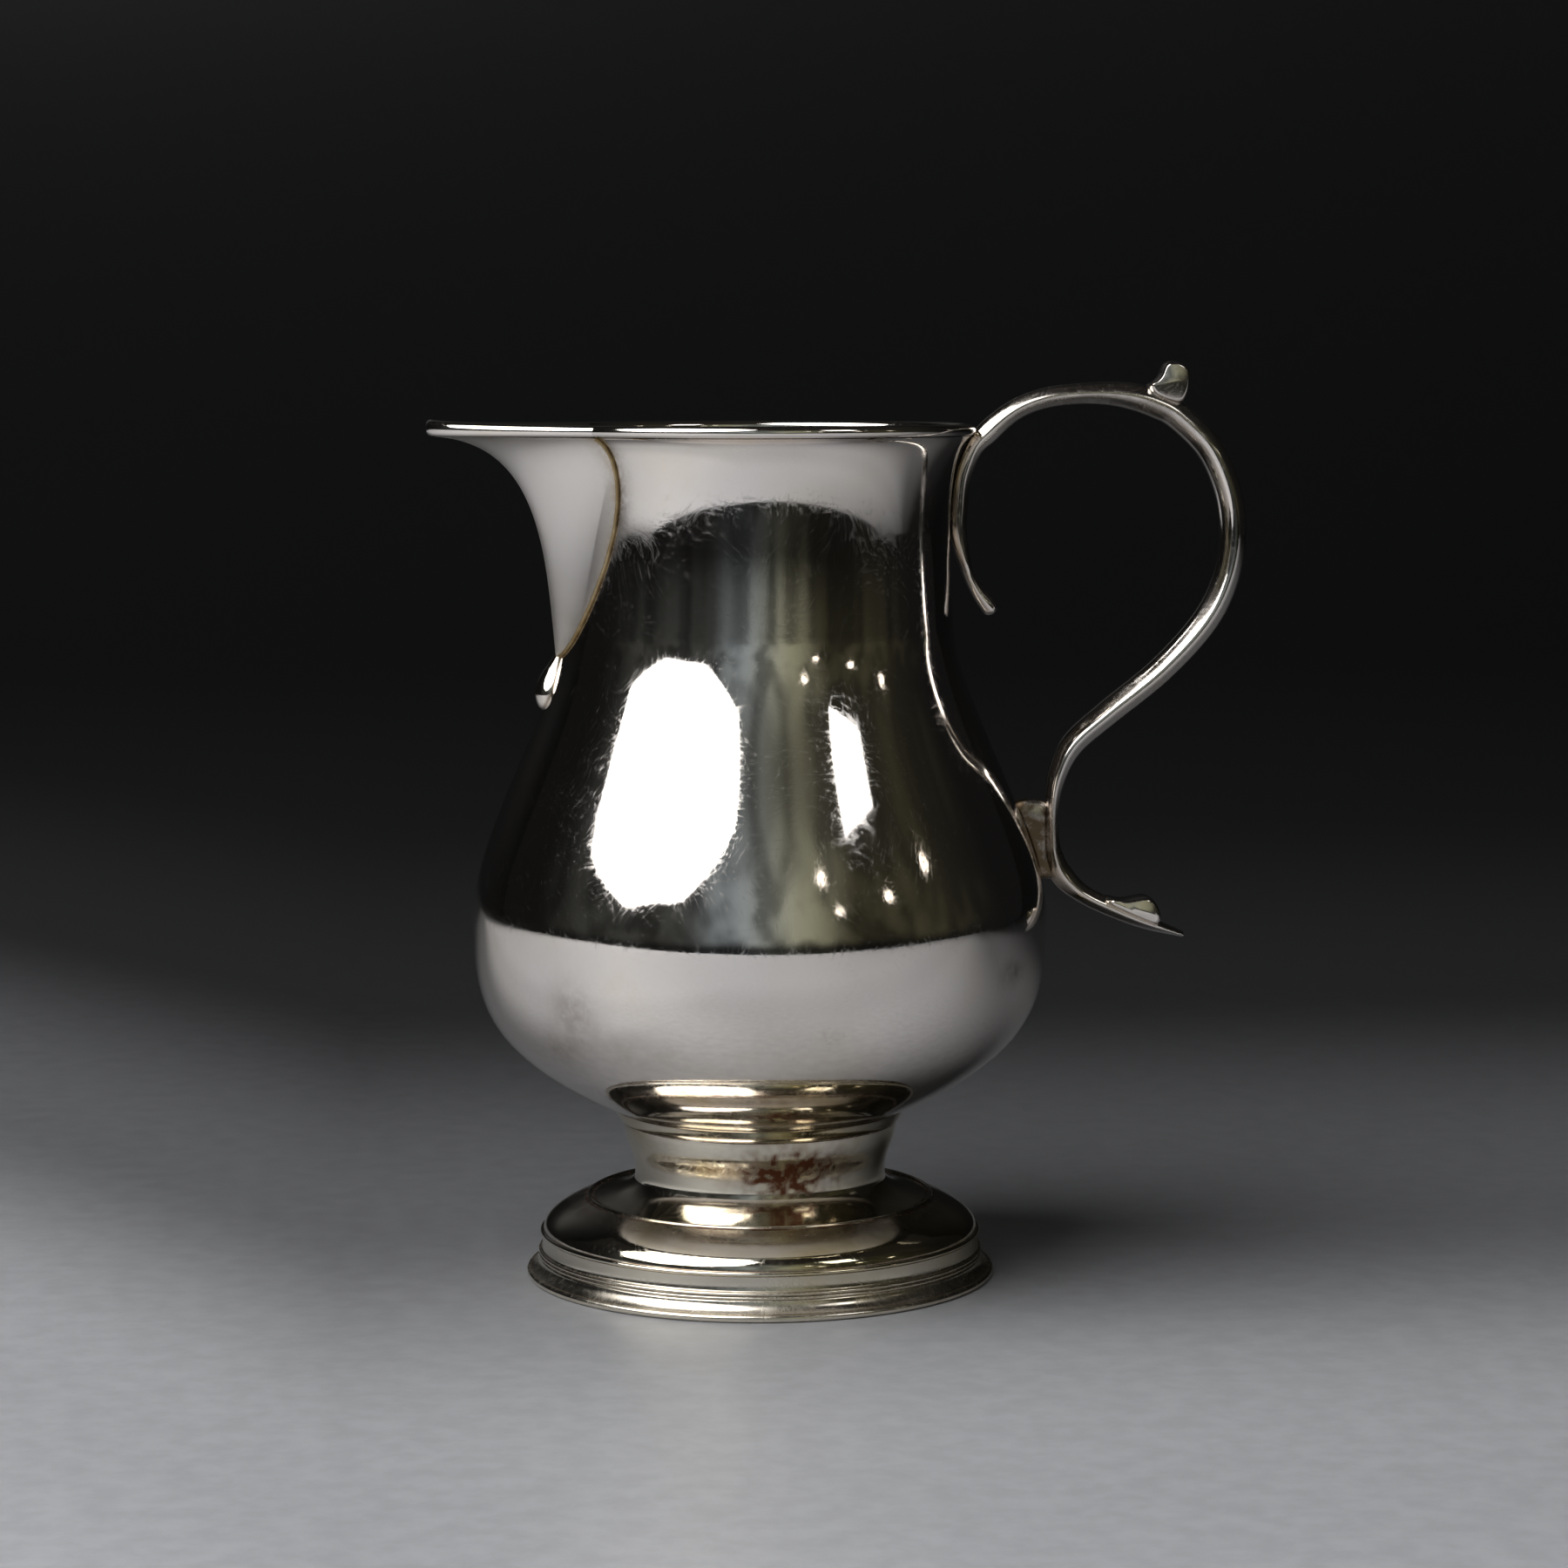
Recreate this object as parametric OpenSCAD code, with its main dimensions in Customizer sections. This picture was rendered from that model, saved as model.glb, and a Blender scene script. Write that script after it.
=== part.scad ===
// Silver cream jug: a raised pear-shaped body on a spreading foot, with a beak spout,
// an applied mouth wire, a cast drop below the spout and a cast scroll handle.
// Millimetres. +Z is up, -X points along the spout and +X towards the handle.
// The origin is the centre of the foot on the surface that the jug stands on.

/* [Body] */
// Radius of the widest part of the body
belly_r = 34; // [28:0.5:41]
// Height of the widest part of the body
belly_z = 42.5; // [38:0.1:46]
// Radius where the shoulder runs into the neck
neck_r = 22.9; // [20:0.1:27.5]
// Height at which the shoulder runs into the neck
neck_z = 76.5; // [72:0.1:82]
// How far the mouth spreads beyond the neck
mouth_flare = 2.1; // [1.2:0.1:3.5]
// Height of the sheet's edge at the mouth
mouth_z = 99.3; // [95:0.1:120]
// Thickness of the body sheet
body_wall = 0.9; // [0.6:0.05:1.4]

/* [Mouth wire] */
// Width of the wire round the mouth, seen from above
wire_w = 1.5; // [1:0.05:2]
// Height of the wire above the sheet's edge
wire_h = 1.4; // [1:0.05:2]
// How far the wire stands out from the body
wire_proud = 0.4; // [0.1:0.05:0.6]

/* [Spout] */
// Distance from the axis to the tip of the spout's shell
spout_reach = 38.2; // [34:0.2:44]
// Half the width of the spout where it meets the mouth
spout_half_w = 15.2; // [12:0.2:18]
// Height of the lower end of the spout
spout_foot_z = 73.6; // [70:0.2:80]
// How far the spout stands off the body at its lower end
spout_foot_proud = 0.5; // [0.3:0.05:1]
// Thickness of the spout's sheet
spout_wall = 0.9; // [0.6:0.05:1.2]
// How far the spout's edge laps over the opening in the body
spout_lap = 0.9; // [0.5:0.1:1.5]
// Extra height of the edge wire at the tip of the spout
tip_rise = 0.6; // [0:0.1:1.2]

/* [Spout drop] */
// Radius of the drop across its widest part
drop_r = 2.4; // [1.4:0.1:3]
// Length of the drop
drop_l = 6.2; // [5:0.2:8]
// How far the drop stands out from the body
drop_proud = 1.8; // [1.2:0.1:2.4]

/* [Foot] */
// Radius of the foot where it stands
foot_r = 27.8; // [23:0.2:34]
// Height of the base wire
base_wire_h = 0.9; // [0.6:0.1:1.5]
// Height of the moulded skirt above the base wire
skirt_h = 4; // [3:0.1:5]
// How far the base spreads beyond the skirt's upright band
flare_w = 1.8; // [1.2:0.1:2.6]
// Height of the bead between skirt and dome
bead_h = 0.6; // [0.4:0.1:1]
// Height of the dome above the bead
dome_h = 3.8; // [3:0.1:5]
// Width of the dome, from the skirt's band in to the line round its top
dome_w = 5.7; // [4.5:0.1:7]
// Height of the inner slope, from the line to the stem
slope_h = 2.2; // [1.2:0.1:3]
// Thickness of the foot's metal
foot_wall = 0.9; // [0.7:0.05:1.3]

/* [Stem] */
// Radius of the stem at its waist
stem_r = 14.85; // [13:0.1:16.5]
// Height of the stem
stem_h = 6.9; // [5:0.1:9]
// How far the stem widens at its top
stem_flare = 1.45; // [0.6:0.05:2.4]
// Height of the ring between stem and body, at its outside
collar_h = 1.7; // [1.2:0.1:2.5]
// How far that ring widens up to the body
collar_flare = 1.3; // [0.8:0.1:2.4]

/* [Handle] */
// Distance from the axis to the back of the handle
handle_reach = 58; // [52:0.5:66]
// Width of the handle's bar, across the jug
bar_w = 4.6; // [3.6:0.1:5.6]
// Depth of the handle's bar at its back
bar_d = 3.2; // [2.4:0.1:3.8]
// Height of the thumb spur's top above the mouth's sheet edge
spur_rise = 8.7; // [7.5:0.1:10]
// Width of the thumb spur
spur_w = 3.8; // [2.6:0.1:5]
// Distance from the body to the middle of the bar at the pad's lower end
waist_gap = 1.3; // [1.2:0.1:3]
// Thickness of the pad between body and handle, across the jug
pad_w = 3; // [2:0.1:4]
// Height of the lower end of the pad
pad_z = 46.6; // [43:0.2:49]
// Height of the pad
pad_h = 9.6; // [7:0.2:11]
// Width of the leaf on the lower terminal
leaf_w = 5.2; // [4:0.1:6.5]

/* [Hidden] */
$fn = 96;

silver = "silver";
bright = "gainsboro";
shade = "darkgray";

// Radius of the body at the mouth
mouth_r = neck_r + mouth_flare;

// Radii of the foot's rings, from the base up to the body
skirt_r = foot_r - flare_w;
dome_line_r = skirt_r - dome_w;
stem_top_r = stem_r + stem_flare;
collar_r = stem_top_r + collar_flare;

// Heights of the foot's joints, from the surface upwards
skirt_z = base_wire_h;
bead_z = skirt_z + skirt_h;
dome_z = bead_z + bead_h;
line_z = dome_z + dome_h;
stem_z = line_z + slope_h;
collar_z = stem_z + stem_h;
body_seat_z = collar_z + collar_h;

// The body rests on a sloping seat inside the ring
seat_w = 1.4;
seat_rise = 0.5;
body_bottom_z = body_seat_z - 2.4;
solder_gap = 0.02;

// ---- curves ----

function bezier(p, n) = [
    for (i = [0 : n])
        let (t = i / n, s = 1 - t)
        s * s * s * p[0] + 3 * s * s * t * p[1] + 3 * s * t * t * p[2] + t * t * t * p[3]
];

// All of a list but its first value
function rest(list) = [for (i = [1 : len(list) - 1]) list[i]];

function reversed(list) = [for (i = [len(list) - 1 : -1 : 0]) list[i]];

function direction(list, i) =
    let (a = list[max(i - 1, 0)], b = list[min(i + 1, len(list) - 1)], d = [b[0] - a[0], b[1] - a[1]])
    d / norm(d);

// A path moved sideways by d, to the left of the way that it runs
function beside(list, d) = [
    for (i = [0 : len(list) - 1])
        let (t = direction(list, i))
        [list[i][0] - d * t[1], list[i][1] + d * t[0]]
];

// A smooth run through stations of any number of values, with n steps between two stations
function through(p, n) = [
    for (i = [0 : len(p) - 2], j = [0 : (i == len(p) - 2 ? n : n - 1)])
        let (
            t = j / n,
            a = p[max(i - 1, 0)],
            b = p[i],
            c = p[i + 1],
            d = p[min(i + 2, len(p) - 1)]
        )
        (2 * b + (c - a) * t + (2 * a - 5 * b + 4 * c - d) * t * t
            + (3 * b - a - 3 * c + d) * t * t * t) / 2
];

// ---- body profile, as [radius, height] ----

body_seat = [collar_r, body_seat_z];
seat_inner = [collar_r - seat_w, body_seat_z - seat_rise];

body_under = bezier([[0, body_bottom_z], [7, body_bottom_z], [12, seat_inner[1] - 1.1], seat_inner], 5);
body_bowl = bezier([
    body_seat,
    body_seat + [0.9 * (belly_r - collar_r), 7],
    [belly_r, belly_z - 9.9],
    [belly_r, belly_z]
], 12);
neck_rise = mouth_z - neck_z;
// Towards the mouth the neck first narrows a little, by this much in each millimetre
neck_taper = 0.064;
shoulder_pull = 7.9;
neck_pull = 0.46 * neck_rise;
body_shoulder = bezier([
    [belly_r, belly_z],
    [belly_r, belly_z + 9.6],
    [neck_r + neck_taper * shoulder_pull, neck_z - shoulder_pull],
    [neck_r, neck_z]
], 16);
body_neck = bezier([
    [neck_r, neck_z],
    [neck_r - neck_taper * neck_pull, neck_z + neck_pull],
    [neck_r - 1, neck_z + 0.92 * neck_rise],
    [mouth_r, mouth_z]
], 12);
body_outside = concat(body_under, body_bowl, rest(body_shoulder), rest(body_neck));
body_above_seat = concat(body_bowl, rest(body_shoulder), rest(body_neck));

// The inside runs parallel to the outside, and turns up into the edge just below the mouth
edge_h = 0.8;
body_inside = concat(
    [[0, body_bottom_z + body_wall]],
    [for (p = rest(beside(body_outside, body_wall))) if (p[1] < mouth_z - edge_h) p],
    [[mouth_r - 1.1 * body_wall, mouth_z]]
);

// Radius of the body's outside at a height above its seat
function body_r(z) = lookup(z, [for (p = body_above_seat) [p[1], p[0]]]);

// ---- spout ----

// Half the width of the spout's seam on the body at height z
seam_power = 2.1;
seam_foot_w = 1.2;
function seam_half_w(z) =
    let (t = max(0, min(1, (mouth_z - z) / (mouth_z - spout_foot_z))))
    max(seam_foot_w, spout_half_w * sqrt(1 - pow(t, seam_power)));

// The spout's keel, as [distance from the axis, height], from its lower end to its tip
spout_rise = mouth_z - spout_foot_z;
keel_foot = body_r(spout_foot_z) + spout_foot_proud;
keel = bezier([
    [keel_foot, spout_foot_z],
    [keel_foot + 1.1, spout_foot_z + 0.46 * spout_rise],
    [keel_foot + 1.5, mouth_z - 0.6],
    [spout_reach, mouth_z]
], 22);

// Plan of the spout's side at one height, from the seam on the +Y side to the keel
function side_curve(seam, nose) = bezier([
    seam,
    seam + 0.36 * (nose - seam),
    [nose[0], 0.3 * seam[1]],
    nose
], 12);

function seam_point(r, half_w) = [-sqrt(r * r - half_w * half_w), half_w];

function mirrored(list) = [for (p = reversed(list)) [p[0], -p[1]]];

// Keeps a point of the plan outside the body
function clear_of(p, r) = norm(p) < r ? p * (r / norm(p)) : p;

function spout_outer(k) =
    let (r = body_r(k[1]) + solder_gap)
    side_curve(seam_point(r, seam_half_w(k[1])), [-k[0], 0]);

function spout_inner(k) =
    let (
        r = body_r(k[1]) + solder_gap,
        half_w = max(0.3, seam_half_w(k[1]) - spout_lap),
        nose = [-max(k[0] - spout_wall, r), 0]
    )
    [for (p = side_curve(seam_point(r, half_w), nose)) clear_of(p, r)];

function both_sides(half) = concat(half, rest(mirrored(half)));

function spout_ring(k) = [
    for (p = concat(both_sides(spout_outer(k)), reversed(both_sides(spout_inner(k)))))
        [p[0], p[1], k[1]]
];

// ---- solids from rings of points ----

// Joins rings of the same even number of points into one closed solid. In every ring the
// first half of the points lies opposite the second half, so that strips close the two ends
module loft(rings) {
    n = len(rings[0]);
    points = [for (r = rings, p = r) p];
    sides = [
        for (j = [0 : len(rings) - 2], i = [0 : n - 1])
            let (a = j * n + i, b = j * n + (i + 1) % n)
            each [[a, b + n, b], [a, a + n, b + n]]
    ];
    top = (len(rings) - 1) * n;
    foot = [for (i = [0 : n / 2 - 2]) each [[i, i + 1, n - 2 - i], [i, n - 2 - i, n - 1 - i]]];
    head = [for (f = foot) [top + f[2], top + f[1], top + f[0]]];
    polyhedron(points, concat(sides, foot, head), convexity = 6);
}

// Section of the handle's bar as [depth share, width share]: a flat inner face, bevelled sides
// and a narrow outer face
bar_section = [
    [-0.5, 0.28], [-0.3, 0.5], [0.12, 0.5], [0.42, 0.3], [0.5, 0.1],
    [0.5, -0.1], [0.42, -0.3], [0.12, -0.5], [-0.3, -0.5], [-0.5, -0.28],
];

// The point of the handle's line that lies a share of the depth to the side of station i
function bar_side(i, share, gap = 0) =
    let (s = handle_line[i], t = direction(handle_line, i))
    [s[0], s[1]] + (share * s[2] + gap) * [-t[1], t[0]];

// One ring of the bar, where scale shrinks or swells its section
function bar_ring(i, scale) = [
    for (q = bar_section)
        let (p = bar_side(i, scale * q[0]))
        [p[0], scale * q[1] * handle_line[i][3], p[1]]
];

// The stretch of the handle's line from one station to another
module bar(from, to, scale = 1) {
    loft([for (i = [from : to]) bar_ring(i, scale)]);
}

// A plate of a given thickness that stands on the jug's middle plane
module plate(outline, thickness) {
    rotate([90, 0, 0])
        translate([0, 0, -thickness / 2])
            linear_extrude(height = thickness)
                polygon(outline);
}

// ---- the handle's line, as stations of [x, z, depth, width] ----

top_z = mouth_z + 4.8;
rim_x = mouth_r + wire_proud + 1.7;
back_x = handle_reach - bar_d / 2;
pad_top_z = pad_z + pad_h;
waist_x = body_r(pad_z) + waist_gap;
tail_w = 0.8 * bar_w;
tail_x = body_r(mouth_z - 12) + 1.06;
// The tip is filed a little smaller than the tail that it ends
tip_scale = 0.9;

// A share of the way from the mouth to the back of the loop, from the waist to the back,
// and from the pad up to the mouth
function over(share) = rim_x + share * (back_x - rim_x);
function out(share) = waist_x + share * (back_x - waist_x);
function up(share) = pad_z + share * (mouth_z - pad_z);

tip_stations = [
    [tail_x + 4.2, mouth_z - 20.7, 1, 0.4 * tail_w],
    [tail_x + 3.6, mouth_z - 19.9, 2, 0.7 * tail_w],
    [tail_x + 2.5, mouth_z - 18.4, 1.9, 0.75 * tail_w],
    [tail_x + 1.4, mouth_z - 16.5, 1.5, 0.85 * tail_w],
];
tail_stations = [
    [tail_x + 0.8, mouth_z - 14.9, 1.6, tail_w],
    [body_r(mouth_z - 11.9) + 1.16, mouth_z - 11.9, 2, tail_w],
    [body_r(mouth_z - 8.8) + 1.1, mouth_z - 8.8, 2.1, tail_w],
    [body_r(mouth_z - 5) + 1.2, mouth_z - 5, 2.1, tail_w],
    [body_r(mouth_z - 1.5) + 1.6, mouth_z - 1.5, 2.3, tail_w],
];
loop_stations = [
    [rim_x, mouth_z + 0.4, 2.7, 0.85 * bar_w],
    [over(0.15), mouth_z + 3.9, 2.4, 0.9 * bar_w],
    [over(0.36), top_z, 2.4, 0.95 * bar_w],
    [over(0.58), top_z - 0.7, 2.8, bar_w],
    [over(0.77), mouth_z + 2.2, bar_d, bar_w],
    [back_x - 2.9, mouth_z - 1.7, bar_d, bar_w],
    [back_x - 0.6, mouth_z - 6.9, bar_d, bar_w],
    [back_x, mouth_z - 12.3, bar_d, bar_w],
    [back_x - 0.9, up(0.67), bar_d, bar_w],
    [back_x - 3.5, up(0.575), bar_d, bar_w],
    [out(0.6), up(0.47), bar_d - 0.1, bar_w],
    [out(0.31), up(0.375), bar_d - 0.2, 0.95 * bar_w],
    [out(0.12), up(0.307), bar_d - 0.4, 0.9 * bar_w],
];
terminal_stations = [
    [waist_x + 0.8, pad_top_z + 3.1, 2.3, 0.85 * bar_w],
    [waist_x + 0.1, pad_top_z - 0.6, 1.8, 0.8 * bar_w],
    [waist_x + 0.1, pad_z + 5, 1.8, 0.8 * bar_w],
    [waist_x + 0.4, pad_z + 2.7, 2.2, 0.8 * bar_w],
    [waist_x + 1.4, pad_z + 0.4, 2.7, 0.8 * bar_w],
    [waist_x + 3.8, pad_z - 1.8, 2.2, 0.8 * bar_w],
    [waist_x + 7.4, pad_z - 3.6, 2.1, 0.85 * bar_w],
    [waist_x + 11.4, pad_z - 5.3, 1.7, 0.9 * bar_w],
    [waist_x + 15.8, pad_z - 6.8, 0.7, 0.7 * bar_w],
];
steps_between = 3;
handle_line = through(
    concat(tip_stations, tail_stations, loop_stations, terminal_stations),
    steps_between
);
tail_start = steps_between * len(tip_stations);
loop_start = tail_start + steps_between * len(tail_stations);
terminal_start = loop_start + steps_between * len(loop_stations);
handle_end = len(handle_line) - 1;

// ---- nodes ----

module body() {
    opening_foot = spout_foot_z + 4;
    lap = spout_lap + 0.3;
    edge = [for (i = [0 : 10]) let (z = opening_foot + i * (mouth_z - opening_foot) / 10) [seam_half_w(z) - lap, z]];
    color(silver)
        difference() {
            rotate_extrude()
                polygon(concat(body_outside, reversed(body_inside)));
            // The opening behind the spout
            rotate([90, 0, -90])
                translate([0, 0, neck_r / 2])
                    linear_extrude(height = belly_r)
                        polygon(concat(
                            edge,
                            [[edge[10][0], mouth_z + 2], [-edge[10][0], mouth_z + 2]],
                            [for (p = reversed(edge)) [-p[0], p[1]]]
                        ));
        }
}

wire_mid_r = mouth_r + wire_proud - wire_w / 2;
mouth_gap_angle = asin(spout_half_w / (mouth_r + solder_gap));

// Half-round section on a flat foot, centred on x = 0
module wire_section(w, h) {
    intersection() {
        translate([0, h - w / 2])
            circle(d = w);
        translate([-w / 2, 0])
            square([w, h]);
    }
    translate([-w / 2, 0])
        square([w, h - w / 2]);
}

module mouth_wire() {
    color(bright)
        rotate([0, 0, mouth_gap_angle - 180])
            rotate_extrude(angle = 360 - 2 * mouth_gap_angle)
                translate([wire_mid_r, mouth_z])
                    wire_section(wire_w, wire_h);
}

module spout() {
    color(silver)
        loft([for (k = keel) spout_ring(k)]);
}

// Section of the spout's edge wire as [width share, height share]
edge_section = [
    [-0.5, 0], [-0.5, 0.5], [-0.38, 0.84], [-0.15, 1], [0.15, 1], [0.38, 0.84], [0.5, 0.5], [0.5, 0],
];

module spout_wire() {
    start = [-wire_mid_r * cos(mouth_gap_angle), wire_mid_r * sin(mouth_gap_angle)];
    path = both_sides(side_curve(start, [-spout_reach, 0]));
    last = len(path) - 1;
    color(bright)
        loft([
            for (i = [0 : last])
                let (
                    t = direction(path, i),
                    // The two ends meet the mouth wire, so they face along its radius
                    out = wire_w * (i == 0 || i == last ? path[i] / norm(path[i]) : [t[1], -t[0]]),
                    h = wire_h + tip_rise * (1 - abs(2 * i / last - 1))
                )
                [for (q = edge_section) concat(path[i] + q[0] * out, mouth_z + q[1] * h)]
        ]);
}

// The drop's stations from its foot to the spout, as [share of its length, share of its radius,
// share of how far it stands out]
drop_stations = [
    [0, 0.4, 0.05], [0.06, 0.68, 0.3], [0.15, 0.88, 0.58], [0.3, 1, 0.88], [0.45, 0.97, 1],
    [0.6, 0.8, 0.97], [0.75, 0.6, 0.8], [0.88, 0.48, 0.6], [1, 0.42, 0.45],
];

// A point of the drop at angle a round it, on a body of radius r
function drop_point(r, half_w, a, proud) =
    let (y = half_w * cos(a))
    [-sqrt(r * r - y * y) - proud * sin(a), y];

module spout_drop() {
    foot_z = spout_foot_z - drop_l;
    edge = 0.1;
    color(bright)
        loft([
            for (s = drop_stations)
                let (
                    z = foot_z + s[0] * (drop_l - solder_gap),
                    half_w = s[1] * drop_r,
                    back_r = body_r(z) + solder_gap,
                    back = [for (a = [0 : 20 : 180]) drop_point(back_r, half_w, a, 0)],
                    front = [for (a = [0 : 20 : 180]) drop_point(back_r + edge, half_w, a, s[2] * drop_proud - edge)]
                )
                [for (p = concat(front, reversed(back))) [p[0], p[1], z]]
        ]);
}

// A ring turned round the axis from an outline of [radius, height] points
module turned(outline) {
    rotate_extrude()
        polygon(outline);
}

skirt_inner_r = skirt_r - foot_wall;

module base_wire() {
    top_r = foot_r - 0.5;
    color(bright)
        turned(concat(
            [[skirt_inner_r, 0], [foot_r - 0.35, 0]],
            [for (a = [-60 : 20 : 60]) [foot_r - 0.4 + 0.4 * cos(a), base_wire_h / 2 + 0.42 * base_wire_h * sin(a)]],
            [[top_r, base_wire_h], [skirt_inner_r, base_wire_h]]
        ));
}

module foot_skirt() {
    flare = bezier([
        [foot_r - 0.6, skirt_z],
        [foot_r - 1.1, skirt_z + 0.3],
        [skirt_r + 0.2, skirt_z + 0.6],
        [skirt_r + 0.15, skirt_z + 1.3]
    ], 6);
    color(silver)
        turned(concat(
            [[skirt_inner_r, skirt_z]],
            flare,
            // A fine ridge, then the upright band
            [[skirt_r + 0.4, skirt_z + 1.5], [skirt_r + 0.4, skirt_z + 1.8], [skirt_r + 0.05, skirt_z + 2]],
            [[skirt_r - 0.08, skirt_z + 0.75 * skirt_h], [skirt_r, bead_z], [skirt_inner_r, bead_z]]
        ));
}

module foot_bead() {
    color(bright)
        turned(concat(
            [[skirt_inner_r, bead_z]],
            [for (a = [-90 : 30 : 90]) [skirt_r - 0.15 + 0.35 * cos(a), bead_z + bead_h / 2 + bead_h / 2 * sin(a)]],
            [[skirt_inner_r, dome_z]]
        ));
}

module foot_dome() {
    edge_r = skirt_r - 0.2;
    dome = bezier([
        [edge_r, dome_z],
        [edge_r - 0.1, dome_z + 0.45 * dome_h],
        [dome_line_r + 0.44 * dome_w, line_z - 1],
        [dome_line_r + 0.3, line_z]
    ], 9);
    slope_w = dome_line_r - stem_r;
    slope = bezier([
        [dome_line_r - 0.05 * slope_w, line_z],
        [dome_line_r - 0.5 * slope_w, line_z + 0.25 * slope_h],
        [stem_r + 0.2 * slope_w, line_z + 0.4 * slope_h],
        [stem_r + 0.15, stem_z]
    ], 6);
    outside = concat(dome, [[dome_line_r, line_z + 0.18]], slope, [[stem_r - foot_wall, stem_z]]);
    inside_dome = [for (p = beside(dome, foot_wall)) [min(p[0], edge_r - foot_wall), max(p[1], dome_z)]];
    inside_slope = beside(slope, foot_wall);
    color(silver)
        turned(concat(
            outside,
            [[stem_r - foot_wall, inside_slope[6][1]]],
            [for (i = [5 : -1 : 0]) inside_slope[i]],
            reversed(inside_dome)
        ));
}

module foot_stem() {
    outside = bezier([
        [stem_r + 0.1, stem_z],
        [stem_r - 0.05, stem_z + 0.35 * stem_h],
        [stem_r + 0.15, stem_z + 0.65 * stem_h],
        [stem_top_r, collar_z]
    ], 8);
    color(silver)
        turned(concat(outside, [for (p = reversed(outside)) [p[0] - foot_wall, p[1]]]));
}

module foot_collar() {
    inner_r = collar_r - seat_w;
    color(bright)
        turned([
            [stem_top_r - foot_wall, collar_z],
            [stem_top_r + 0.1, collar_z],
            [stem_top_r + 0.3, collar_z + 0.15],
            [stem_top_r + 0.2, collar_z + 0.35],
            [collar_r - 0.35, body_seat_z - 0.45],
            [collar_r, body_seat_z],
            [inner_r, body_seat_z - seat_rise],
        ]);
}

module handle_scroll() {
    color(silver)
        bar(loop_start, handle_end);
}

module handle_tail() {
    color(silver)
        bar(tail_start, loop_start);
}

module tail_tip() {
    color(bright)
        bar(0, tail_start, tip_scale);
}

// Seen from the side: a sloping front, a round head and a hollow back
module thumb_spur() {
    head_r = 1.2;
    base = [for (i = [loop_start + 9 : loop_start + 12]) bar_side(i, 0.5, solder_gap)];
    head = [base[3][0] - 1.5, mouth_z + spur_rise - head_r];
    color(bright)
        plate(concat(
            reversed(base),
            [head + [-3.4, -1.4], head + [-2.1, -0.7]],
            [for (a = [160 : -20 : -20]) head + head_r * [cos(a), sin(a)]],
            [base[3] + [0.3, 1.2]]
        ), spur_w);
}

// Seen from the side: a low swell that ends in a knob
module terminal_leaf() {
    base = [for (i = [terminal_start + 17 : terminal_start + 22]) bar_side(i, 0.5, solder_gap)];
    end = base[5];
    color(bright)
        plate(concat(
            reversed(base),
            [end + [-4.8, 2.7], end + [-2.7, 3.1], end + [-1.5, 3.2], end + [-0.6, 2.3], end + [0, 0.9]]
        ), leaf_w);
}

module handle_pad() {
    steps = 6;
    levels = [for (i = [0 : steps]) pad_z + i * pad_h / steps];
    bar_inside = [
        for (i = [terminal_start : terminal_start + 16])
            let (p = bar_side(i, -0.5, -solder_gap))
            [p[1], p[0]]
    ];
    color(shade)
        plate(concat(
            [for (z = levels) [body_r(z) + solder_gap, z]],
            [for (z = reversed(levels)) [lookup(z, bar_inside), z]]
        ), pad_w);
}

body();
mouth_wire();
spout();
spout_wire();
spout_drop();
base_wire();
foot_skirt();
foot_bead();
foot_dome();
foot_stem();
foot_collar();
handle_scroll();
handle_tail();
tail_tip();
thumb_spur();
terminal_leaf();
handle_pad();
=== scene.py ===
"""A silver cream jug on a pale table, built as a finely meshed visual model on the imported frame.

Every CAD node is stood for by a smooth mesh of its own. Sizes inside the classes are in
millimetres in the jug's frame: +Z up, the spout towards -X and the handle towards +X.
"""

import logging
import math
from dataclasses import dataclass, field
from enum import Enum
from typing import Callable, Sequence

import bmesh
import bpy
import numpy as np
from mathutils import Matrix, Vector, noise


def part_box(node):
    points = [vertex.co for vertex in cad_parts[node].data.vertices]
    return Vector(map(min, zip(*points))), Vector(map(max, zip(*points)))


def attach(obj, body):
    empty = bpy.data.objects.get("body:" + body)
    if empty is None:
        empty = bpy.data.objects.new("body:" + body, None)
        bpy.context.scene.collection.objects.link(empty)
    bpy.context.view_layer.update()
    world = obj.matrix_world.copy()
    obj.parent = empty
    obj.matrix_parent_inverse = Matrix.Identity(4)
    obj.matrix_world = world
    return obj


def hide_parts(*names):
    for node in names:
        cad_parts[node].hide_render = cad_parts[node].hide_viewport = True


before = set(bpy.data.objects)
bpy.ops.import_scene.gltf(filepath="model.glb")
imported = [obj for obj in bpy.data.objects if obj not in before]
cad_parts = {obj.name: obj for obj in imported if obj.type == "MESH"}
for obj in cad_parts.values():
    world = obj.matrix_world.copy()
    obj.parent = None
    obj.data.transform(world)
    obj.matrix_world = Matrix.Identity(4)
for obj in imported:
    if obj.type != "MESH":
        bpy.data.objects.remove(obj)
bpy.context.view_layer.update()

log = logging.getLogger("cream_jug")

MM = 0.001  # a millimetre in metres
BODY = "root"  # the only body, because nothing on the jug moves
TARNISH_AND_SHADE = "tarnish_and_shade"  # the attribute that says how dark the metal is, 0 to 1, from tarnish and from painted shade
ROUND_STEPS = 288  # steps of a full turn round the jug's axis
WIRE_SIDES = 24  # sides of a wire's oval section
CREASE = 50.0  # degrees from which an edge stays sharp
CLOSE = 2e-7  # metres below which two points are merged
TINY = 1e-8  # metres below which an edge is dissolved

Points = np.ndarray
Socket = bpy.types.NodeSocket
Triple = tuple[float, float, float]


class Slot(Enum):
    """The material slots of the jug's pieces."""

    BODY = "body_silver"
    SPOUT = "spout_silver"
    FOOT = "foot_silver"
    HANDLE = "handle_silver"


# ---------------------------------------------------------------- curves


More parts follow.
